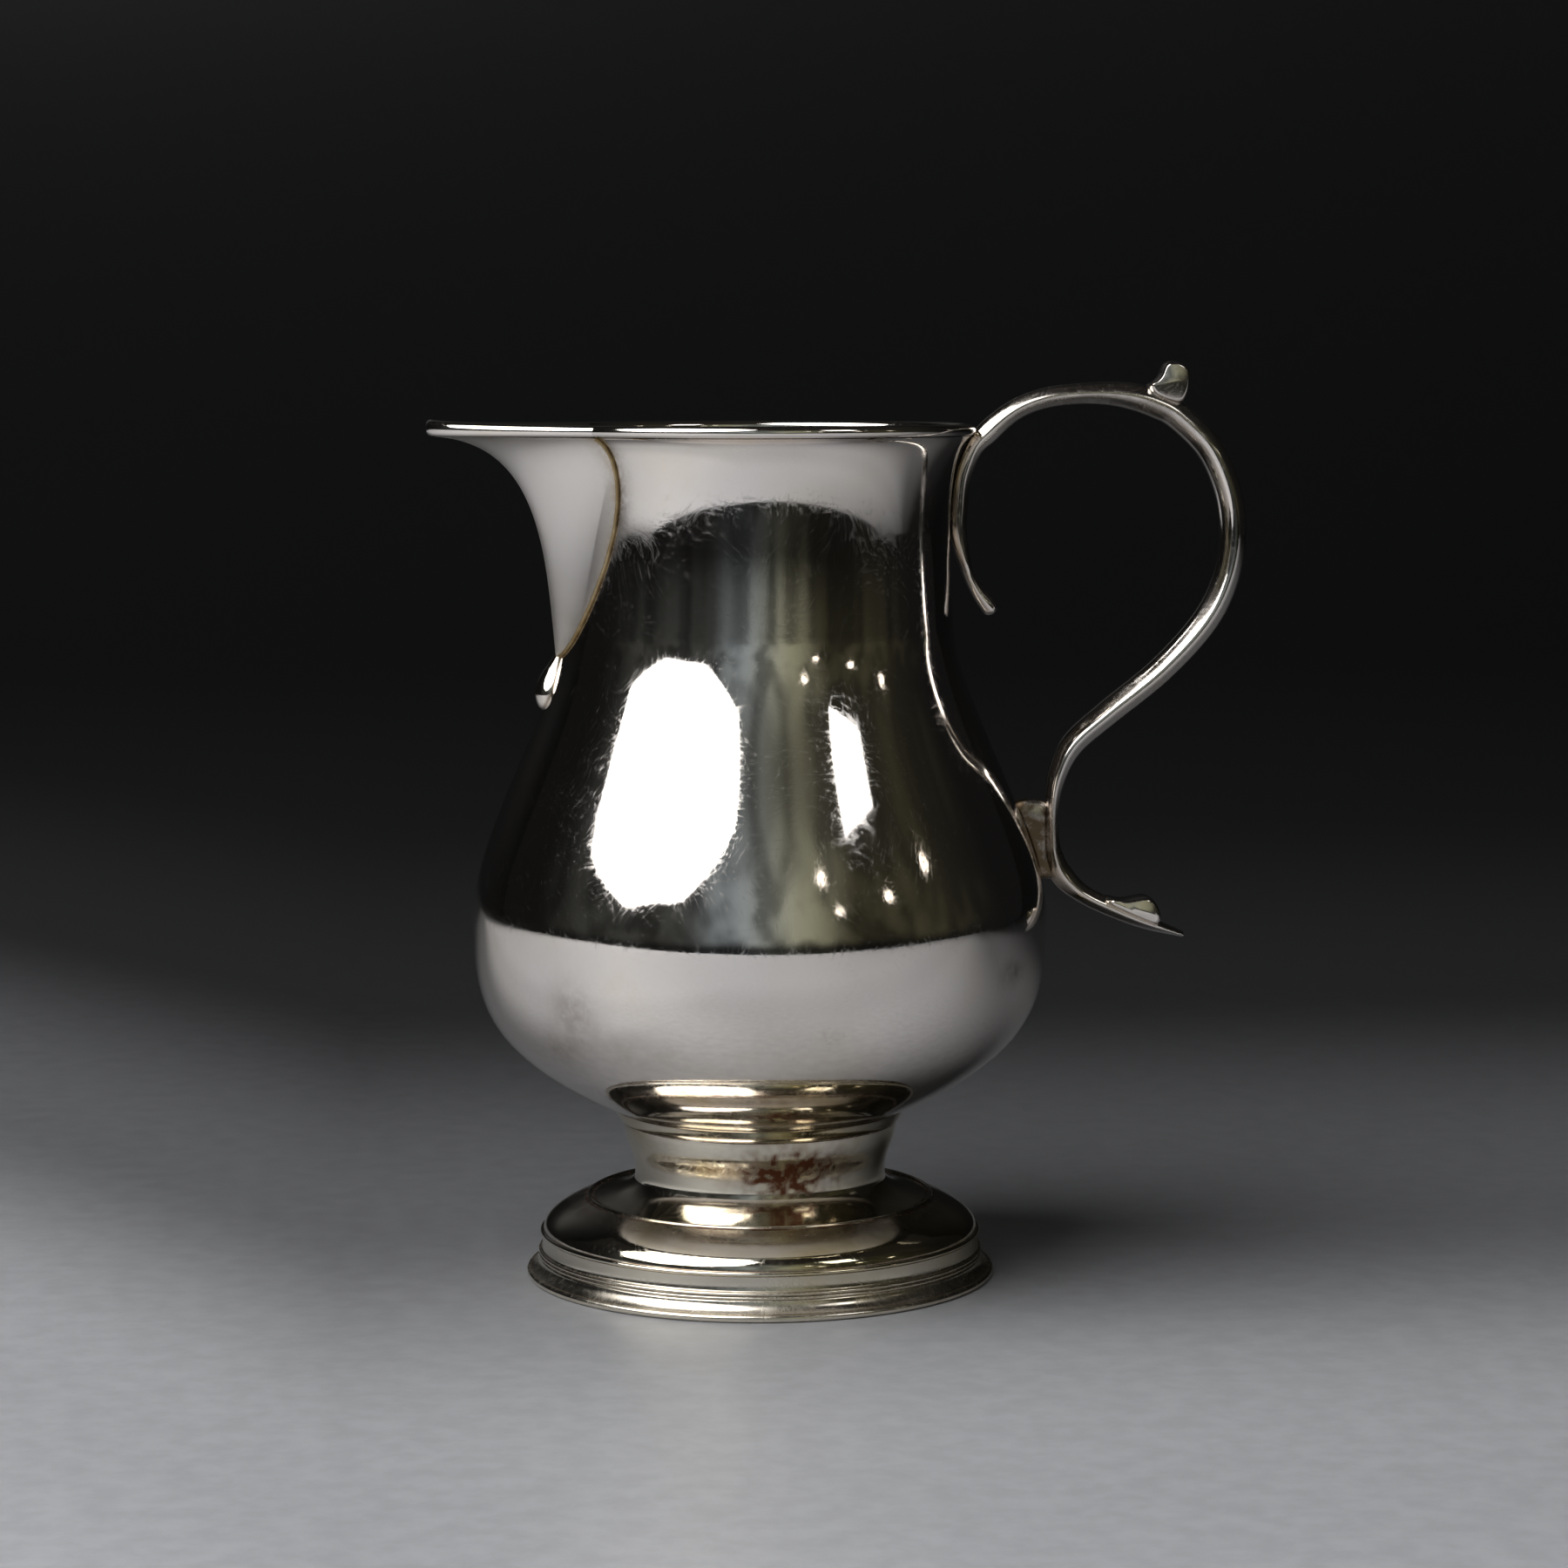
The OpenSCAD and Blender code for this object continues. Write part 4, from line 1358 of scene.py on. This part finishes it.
@dataclass
class Handle:
    """The cast scroll handle with its tail, tip, spur, leaf and pad."""

    shell: BodyShell
    bar_w: float = 4.6
    bar_d: float = 3.2
    pad_w: float = 2.4
    pad_z: float = 46.6
    pad_h: float = 9.6
    spur_w: float = 3.8
    # painted shade: how dark the whole thumb spur is painted, for its dark reflections
    spur_painted_shade: float = 0.3
    leaf_w: float = 5.2
    waist_gap: float = 1.3
    tip_scale: float = 0.9
    shy: float = 0.02
    steps: int = 9

    def __post_init__(self) -> None:
        """Lays the handle's line and splits it into its castings."""
        self.back_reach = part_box("handle_scroll")[1].x / MM
        self.spur_top = high("thumb_spur")
        tip, tail, loop, end = self.stations(self.shell)
        self.line = through(tip + tail + loop + end, self.steps)
        self.tail_start = self.steps * len(tip)
        self.loop_start = self.tail_start + self.steps * len(tail)
        self.end_start = self.loop_start + self.steps * len(loop)
        self.tangents = directions(self.line)
        half = [[-0.5, 0.16], [-0.13, 0.48], [0.1, 0.5], [0.41, 0.27], [0.5, 0.1]]
        section = np.array(half + [[depth, -width] for depth, width in reversed(half)])
        self.section = eased(section, 3)

    def build(self) -> None:
        """Builds and dresses the bar, the tail with its tip, the spur, the leaf and the pad."""
        metal = HANDLE_FINISH.build()
        last = len(self.line) - 1
        dress(self.bar("handle_scroll_bar", self.loop_start, last, cap_last=True),
              metal, Slot.HANDLE, "handle_scroll")
        dress(self.bar("handle_tail_bar", self.tail_start, self.loop_start),
              metal, Slot.HANDLE, "handle_tail")
        dress(self.bar("handle_tail_tip", 0, self.tail_start, self.tip_scale, cap_first=True),
              metal, Slot.HANDLE, "tail_tip")
        dress(self.spur(), metal, Slot.HANDLE, "thumb_spur")
        dress(self.leaf(), metal, Slot.HANDLE, "terminal_leaf")
        dress(self.pad(), metal, Slot.HANDLE, "handle_pad")

    def stations(self, body: BodyShell) -> tuple[list, list, list, list]:
        """The handle's line as stations of [x, z, depth, width].

        Args:
            body: the body, whose outside the joints follow.

        Returns:
            The stations of the tip, the tail, the loop and the lower end.
        """
        top, r = body.mouth_z, body.radius
        w, d, tail_w = self.bar_w, self.bar_d, 0.8 * self.bar_w
        rim_x = body.mouth_r + body.wire_proud + 1.7
        back = self.back_reach - d / 2 - self.shy
        pad_top, pad = self.pad_z + self.pad_h, self.pad_z
        waist = float(r(pad)) + self.waist_gap
        tail_x = float(r(top - 12)) + 1.06

        def over(share: float) -> float:
            """A share of the way from the mouth to the back of the loop."""
            return rim_x + share * (back - rim_x)

        def out(share: float) -> float:
            """A share of the way from the waist to the back of the loop."""
            return waist + share * (back - waist)

        def up(share: float) -> float:
            """A share of the way from the pad up to the mouth."""
            return pad + share * (top - pad)

        tip = [[tail_x + 3.9, top - 20.4, 2.1, 0.75 * tail_w],
               [tail_x + 3.4, top - 19.7, 2.15, 0.8 * tail_w],
               [tail_x + 2.4, top - 18.4, 1.8, 0.75 * tail_w],
               [tail_x + 1.35, top - 16.5, 1.55, 0.8 * tail_w]]
        tail = [[tail_x + 0.8, top - 14.9, 1.6, tail_w]]
        for below, stand, depth in ((11.9, 1.16, 2), (8.8, 1.1, 2.1), (5, 1.2, 2.1), (1.5, 1.6, 2.3)):
            tail.append([float(r(top - below)) + stand, top - below, depth, tail_w])
        loop = [[rim_x, top + 0.4, 2.7, 0.85 * w]]
        for share, above, depth, width in (
                (0.075, 2.3, 2.5, 0.88), (0.15, 3.55, 2.4, 0.9), (0.245, 4.4, 2.4, 0.93),
                (0.36, 4.8, 2.4, 0.95), (0.475, 4.85, 2.7, 0.97), (0.58, 4.5, 3.1, 1), (0.68, 3.6, 3.3, 1)):
            loop.append([over(share), top + above, depth, width * w])
        loop += [[over(0.77), top + 2.15, d, w], [back - 2.9, top - 1.7, d, w],
                 [back - 0.6, top - 6.9, d, w], [back, top - 12.3, d, w], [back - 0.9, up(0.67), d, w],
                 [back - 3.5, up(0.575), d, w], [out(0.6), up(0.47), d - 0.1, w],
                 [out(0.31), up(0.375), d - 0.2, 0.95 * w], [out(0.12), up(0.307), d - 0.4, 0.9 * w]]
        end = []
        for beyond, z, depth, width in (
                (0.8, pad_top + 3.1, 2.3, 0.85), (0.1, pad_top - 0.6, 1.8, 0.8), (0.1, pad + 5, 1.8, 0.8),
                (0.4, pad + 2.7, 2.2, 0.8), (1.4, pad + 0.4, 2.7, 0.8), (3.8, pad - 1.8, 2.2, 0.8),
                (7.4, pad - 3.6, 2.1, 0.85), (11.4, pad - 5.3, 1.7, 0.9), (15.8, pad - 6.8, 0.7, 0.7)):
            end.append([waist + beyond, z, depth, width * w])
        return tip, tail, loop, end

    def beside_line(self, i: int, share: float) -> Points:
        """A point to the side of the line.

        Args:
            i: the point of the line that it stands beside.
            share: how far to the side it stands, as a share of the bar's depth.

        Returns:
            The point as [x, z].
        """
        x, z, depth, _ = self.line[i]
        t = self.tangents[i]
        return np.array([x, z]) + share * depth * np.array([-t[1], t[0]])

    def bar(self, name: str, first: int, last: int, scale: float = 1.0,
            cap_first: bool = False, cap_last: bool = False) -> bpy.types.Object:
        """Sweeps the bevelled section along a stretch of the line.

        Args:
            name: the piece's name.
            first: its first station.
            last: its last station.
            scale: swell or shrink of the section.
            cap_first: whether its first end is rounded off.
            cap_last: whether its last end is rounded off.

        Returns:
            The piece.
        """
        rings = [self.ring(i, scale, 0.0) for i in range(first, last + 1)]
        if cap_first:
            rings = self.cap(first, scale, -1)[::-1] + rings
        if cap_last:
            rings += self.cap(last, scale, 1)
        return loft(name, rings, self.darkness)

    def cap(self, i: int, scale: float, way: int) -> list[Points]:
        """Rings that round off one end of the bar.

        Args:
            i: the end's point of the line.
            scale: swell or shrink of the section.
            way: 1 along the line, -1 against it.

        Returns:
            The rings, from the bar outwards.
        """
        bulge = 0.35 * way * self.line[i][2]
        turns = np.radians([20, 40, 58, 72, 83])
        return [self.ring(i, scale * math.cos(a), bulge * math.sin(a)) for a in turns]

    def ring(self, i: int, scale: float, ahead: float) -> Points:
        """One ring of the bar.

        Args:
            i: its point of the line.
            scale: swell or shrink of the section.
            ahead: how far it is moved along the line.

        Returns:
            The ring's points.
        """
        width = self.line[i][3]
        t = self.tangents[i]
        ring = []
        for depth_share, width_share in self.section:
            x, z = self.beside_line(i, scale * depth_share) + ahead * t
            ring.append([x, scale * width_share * width, z])
        return np.array(ring)

    def darkness(self, points: Points) -> Points:
        """Tarnish where the castings meet the body, a slight tarnish all over, and painted shade on the
        lower end near the pad and on the top of the loop.

        Args:
            points: the piece's points.

        Returns:
            A value for each point, 0 to 1.
        """
        stand = np.hypot(points[:, 0], points[:, 1]) - self.shell.radius(points[:, 2])
        stand = np.where(points[:, 2] > self.shell.mouth_z + 1, 9, stand)
        joint = 0.7 * np.exp(-np.maximum(stand, 0) / 0.45)
        # painted shade: the lower end darkens near the pad, where it stands close to the body
        from_pad = points[:, 2] - (self.pad_z + 0.5 * self.pad_h)
        waist = 0.45 * np.exp(-(from_pad / 5.5) ** 2) * (points[:, 0] < 42)
        # painted shade: the top of the loop above the mouth is darkened
        crown = 0.34 * np.clip((points[:, 2] - self.shell.mouth_z) / 3, 0, 1)
        return np.clip(joint + waist + crown + 0.06, 0, 1)

    def spur(self) -> bpy.types.Object:
        """Builds the thumb spur: a sloping front, a round head and an upright back.

        Returns:
            The piece.
        """
        crest = np.array([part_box("thumb_spur")[1].x / MM - 1.65, self.spur_top - 0.12])
        outline = crest + np.array([
            [-3.4, -2.75], [-2.5, -2.45], [-1.75, -1.7], [-1.45, -0.7], [-1.0, 0.0], [0.0, 0.12],
            [1.1, -0.25], [1.75, -1.0], [1.75, -2.4], [1.45, -4.0], [0.6, -5.2], [-2.6, -4.2],
        ])
        spur = cushion("thumb_spur_knob", smooth_outline(outline, 3), self.spur_w, 0.22)
        # painted shade: the whole spur is darkened to stand for its dark reflections
        darken(spur, self.spur_painted_shade)
        return spur

    def leaf(self) -> bpy.types.Object:
        """Builds the leaf on the lower end: a low swell that ends in a knob.

        Returns:
            The piece.
        """
        first, last = 17, 22  # thirds of the way between two stations of the lower end
        places = [self.end_start + third * self.steps // 3 for third in range(first, last + 1)]
        base = [self.beside_line(i, 0.15) for i in reversed(places)]
        start, end = self.beside_line(places[0], 0.5), self.beside_line(places[-1], 0.5)
        knob = [end + step for step in ([-4.8, 2.6], [-2.7, 3.0], [-1.5, 3.15], [-0.6, 2.3], [0, 0.9])]
        outline = np.array(base + [start] + knob)
        return cushion("lower_end_leaf", smooth_outline(outline, 2), self.leaf_w, 0.25)

    def pad(self) -> bpy.types.Object:
        """Builds the pad between body and handle, painted fully dark as shade.

        Returns:
            The piece.
        """
        levels = np.linspace(self.pad_z, self.pad_z + self.pad_h, 9)
        stretch = range(self.end_start, self.end_start + 5 * self.steps)
        inside = np.array([self.beside_line(i, -0.4) for i in stretch])
        order = np.argsort(inside[:, 1])
        outline = [[float(self.shell.radius(z)) - 0.08, z] for z in levels]
        outline += [[float(np.interp(z, inside[order, 1], inside[order, 0])), z] for z in levels[::-1]]
        pad = cushion("handle_joint_pad", smooth_outline(outline, 2), self.pad_w, 0.4)
        # painted shade: the whole pad takes the darkest colour, for the shade in the gap between body and
        # handle
        darken(pad, 1.0)
        return pad


# ---------------------------------------------------------------- studio


@dataclass
class Studio:
    """Table, soft lights, dim room and camera."""

    camera_at: Triple = (-0.0406, -0.4734, 0.1074)
    camera_turn: Triple = (84.1, 0.06, -5.26)
    lens: float = 92.88
    aim: Triple = (0, 0, 0.06)
    softbox_turn: float = 5.0

    @staticmethod
    def way(azimuth: float, elevation: float) -> Vector:
        """Direction from the jug; azimuth 0 is towards the camera and grows to the right."""
        a, e = math.radians(azimuth), math.radians(elevation)
        return Vector((math.sin(a) * math.cos(e), -math.cos(a) * math.cos(e), math.sin(e)))

    def soft_light(self, name: str, azimuth: float, elevation: float, distance: float, size: float,
                   radiance: float, colour: Triple = (1, 1, 1), square: bool = False) -> None:
        """Adds one soft light that faces the jug.

        Args:
            name: the light's name.
            azimuth: its direction round the jug in degrees.
            elevation: its direction above the table in degrees.
            distance: its distance in metres.
            size: its width in metres.
            radiance: its brightness, whatever its size.
            colour: its colour.
            square: whether it is square rather than round.
        """
        light = bpy.data.lights.new(name, "AREA")
        light.shape = "SQUARE" if square else "DISK"
        light.size = size
        area = size * size * (1.0 if square else math.pi / 4)
        light.energy = radiance * math.pi * area
        light.color = colour
        lamp = put(name, light)
        target = Vector(self.aim)
        lamp.location = target + distance * self.way(azimuth, elevation)
        lamp.rotation_euler = (lamp.location - target).to_track_quat("Z", "Y").to_euler()

    def softbox(self, azimuth: float, elevation: float, distance: float, width: float,
                radiance: float) -> None:
        """Adds the big eight-sided softbox as a glowing panel that the camera doesn't see.

        Args:
            azimuth: its direction round the jug in degrees.
            elevation: its direction above the table in degrees.
            distance: its distance in metres.
            width: its width from corner to corner in metres.
            radiance: its brightness.
        """
        target = Vector(self.aim)
        away = self.way(azimuth, elevation)
        side = away.cross(Vector((0, 0, 1))).normalized()
        up = side.cross(away)
        middle = target + distance * away
        turns = [math.radians(45 * k + self.softbox_turn) for k in range(8)]
        corners = [middle + width / 2 * (math.cos(t) * side + math.sin(t) * up) for t in turns]
        mesh = bpy.data.meshes.new("big_softbox")
        mesh.from_pydata([tuple(c) for c in corners], [], [tuple(range(8))])
        panel = put("big_softbox", mesh)
        mat = bpy.data.materials.new("softbox_glow")
        mat.use_nodes = True
        mat.node_tree.nodes.clear()
        kit = NodeKit(mat.node_tree)
        glow = kit.add("ShaderNodeEmission", Strength=radiance)
        kit.link(glow.outputs["Emission"], kit.add("ShaderNodeOutputMaterial").inputs["Surface"])
        mesh.materials.append(mat)
        panel.visible_camera = False

    def lights(self) -> None:
        """Sets the big softbox, the smaller one and the room's lamps."""
        self.softbox(-58, 48, 1.25, 1.55, 3.6)
        self.soft_light("small_softbox", 45, 41, 1.5, 0.38, 2.6, square=True)
        for i, (azimuth, elevation) in enumerate(((22, 28), (71, 23), (28, 18), (50, 20))):
            self.soft_light(f"room_lamp_{i}", azimuth, elevation, 1.8, 0.11, 2.2, (1, 0.92, 0.8))

    def table(self) -> None:
        """Builds the pale table top, which curves up far behind the jug."""
        near, far, bend, rise, half = -0.5, 0.9, 0.5, 1.6, 1.7
        turn = np.radians(np.linspace(0, 90, 25))
        sweep = [(near, 0.0)] + [(far + bend * math.sin(a), bend - bend * math.cos(a)) for a in turn]
        sweep.append((far + bend, rise))
        corners = [(x, y, z) for y, z in sweep for x in (-half, half)]
        faces = [(i, i + 1, i + 3, i + 2) for i in range(0, 2 * len(sweep) - 2, 2)]
        mesh = bpy.data.meshes.new("table_top")
        mesh.from_pydata(corners, [], faces)
        mesh.shade_smooth()
        mesh.materials.append(self.table_surface())
        table = put("table_top", mesh)

    @staticmethod
    def table_surface() -> bpy.types.Material:
        """The table's surface, with a painted pool of light: its colour is pale in front and to the left
        and fades to dark behind.

        Returns:
            The material.
        """
        mat = bpy.data.materials.new("table_with_painted_light_pool")
        mat.use_nodes = True
        kit = NodeKit(mat.node_tree)
        shader = mat.node_tree.nodes["Principled BSDF"]
        shader.inputs["Roughness"].default_value = 0.42
        shader.inputs["Specular IOR Level"].default_value = 0.4
        place = kit.add("ShaderNodeTexCoord").outputs["Object"]
        split = kit.add("ShaderNodeSeparateXYZ")
        kit.link(place, split.inputs["Vector"])
        # painted pool of light: the grey ramp stands in for the light falling off towards the back, with
        # the left side kept pale
        share = kit.add("ShaderNodeMapRange")
        share.inputs["From Min"].default_value = -0.2
        share.inputs["From Max"].default_value = 0.5
        left_from, left_most, slope = -0.05, 0.3, -1.6
        leftward = kit.math("MAXIMUM", kit.math("SUBTRACT", left_from, split.outputs["X"]), 0.0)
        leftward = kit.math("MINIMUM", leftward, left_most)
        kit.link(kit.math("MULTIPLY_ADD", leftward, slope, split.outputs["Y"]), share.inputs["Value"])
        ramp = kit.add("ShaderNodeValToRGB")
        ramp.color_ramp.interpolation = "EASE"
        painted_light_greys = ((0.0, 0.64), (0.16, 0.52), (0.33, 0.18), (0.58, 0.028), (1.0, 0.012))
        cells = ramp.color_ramp.elements
        while len(cells) < len(painted_light_greys):
            cells.new(0.5)
        for cell, (at, grey) in zip(cells, painted_light_greys):
            cell.position = at
            cell.color = (0.97 * grey, 0.985 * grey, 1.03 * grey, 1)
        kit.link(share.outputs["Result"], ramp.inputs["Fac"])
        worn = kit.add("ShaderNodeMix", data_type="RGBA")
        worn.blend_type = "MULTIPLY"
        kit.feed(0.12, worn.inputs[0])
        kit.link(ramp.outputs["Color"], worn.inputs[6])
        kit.link(kit.ramp(kit.noise(place, 260, 6, 0.6), 0.3, 0.7), worn.inputs[7])
        kit.link(worn.outputs[2], shader.inputs["Base Color"])
        kit.link(kit.bump(kit.noise(place, 1500, 3, 0.5), 0.008, None), shader.inputs["Normal"])
        return mat

    def room(self) -> None:
        """Sets a dim room: grey on the left, olive on the right and dark behind."""
        world = bpy.data.worlds.new("dim_room")
        bpy.context.scene.world = world
        world.use_nodes = True
        kit = NodeKit(world.node_tree)
        way = kit.add("ShaderNodeTexCoord").outputs["Generated"]
        split = kit.add("ShaderNodeSeparateXYZ")
        kit.link(way, split.inputs["Vector"])
        x, y, z = (split.outputs[axis] for axis in "XYZ")
        grey, olive = (0.26, 0.30, 0.32, 1), (0.29, 0.295, 0.21, 1)
        dim_grey, dim_olive = (0.045, 0.048, 0.045, 1), (0.042, 0.04, 0.024, 1)
        gap, behind, ceiling = (0.004, 0.004, 0.004, 1), (0.006, 0.006, 0.006, 1), (0.014, 0.013, 0.012, 1)

        aside = kit.math("POWER", kit.math("ABSOLUTE", kit.math("ADD", x, 0.02)), 1.6)
        bright = kit.ramp(aside, 0.42, 0.0)
        right = kit.ramp(x, -0.3, 0.3)
        wall = kit.mix(bright, kit.mix(right, dim_grey, dim_olive), kit.mix(right, grey, olive))
        squash = kit.add("ShaderNodeMapping")
        squash.inputs["Scale"].default_value = (1.5, 1.5, 0.8)
        kit.link(way, squash.inputs["Vector"])
        shapes = kit.ramp(kit.noise(squash.outputs["Vector"], 4.0, 1.5, 0.4), 0.33, 0.66)
        clutter = kit.math("MULTIPLY_ADD", shapes, 0.65, 0.35)
        above_table = kit.math("MULTIPLY_ADD", kit.ramp(z, -0.03, 0.1), 0.9, 0.1)
        wall = kit.mix(kit.math("MULTIPLY", clutter, above_table), gap, wall)
        room = kit.mix(kit.ramp(y, 0.35, -0.45), behind, wall)
        room = kit.mix(kit.ramp(z, 0.4, 0.85), room, ceiling)
        kit.link(room, world.node_tree.nodes["Background"].inputs["Color"])

    def camera(self) -> None:
        """Sets the camera in front of the jug, a little above its rim."""
        data = bpy.data.cameras.new("camera")
        data.lens = self.lens
        data.sensor_width = 36
        data.clip_start = 0.01
        camera = put("camera", data)
        camera.location = self.camera_at
        camera.rotation_euler = tuple(math.radians(a) for a in self.camera_turn)
        bpy.context.scene.camera = camera

    def build(self) -> None:
        """Sets up the camera, the lights, the table and the room."""
        self.camera()
        self.lights()
        self.table()
        self.room()
        bpy.context.scene.view_settings.view_transform = "Standard"


# ---------------------------------------------------------------- the whole scene


def main() -> None:
    """Builds the studio and the jug."""
    logging.basicConfig(level=logging.INFO, format="%(message)s")
    Studio().build()
    sweep = WireSweep()
    shell = BodyShell()
    shell.build(sweep)
    Spout(shell).build(sweep)
    Foot().build(sweep)
    Handle(shell).build()


if __name__ == "__main__":
    main()
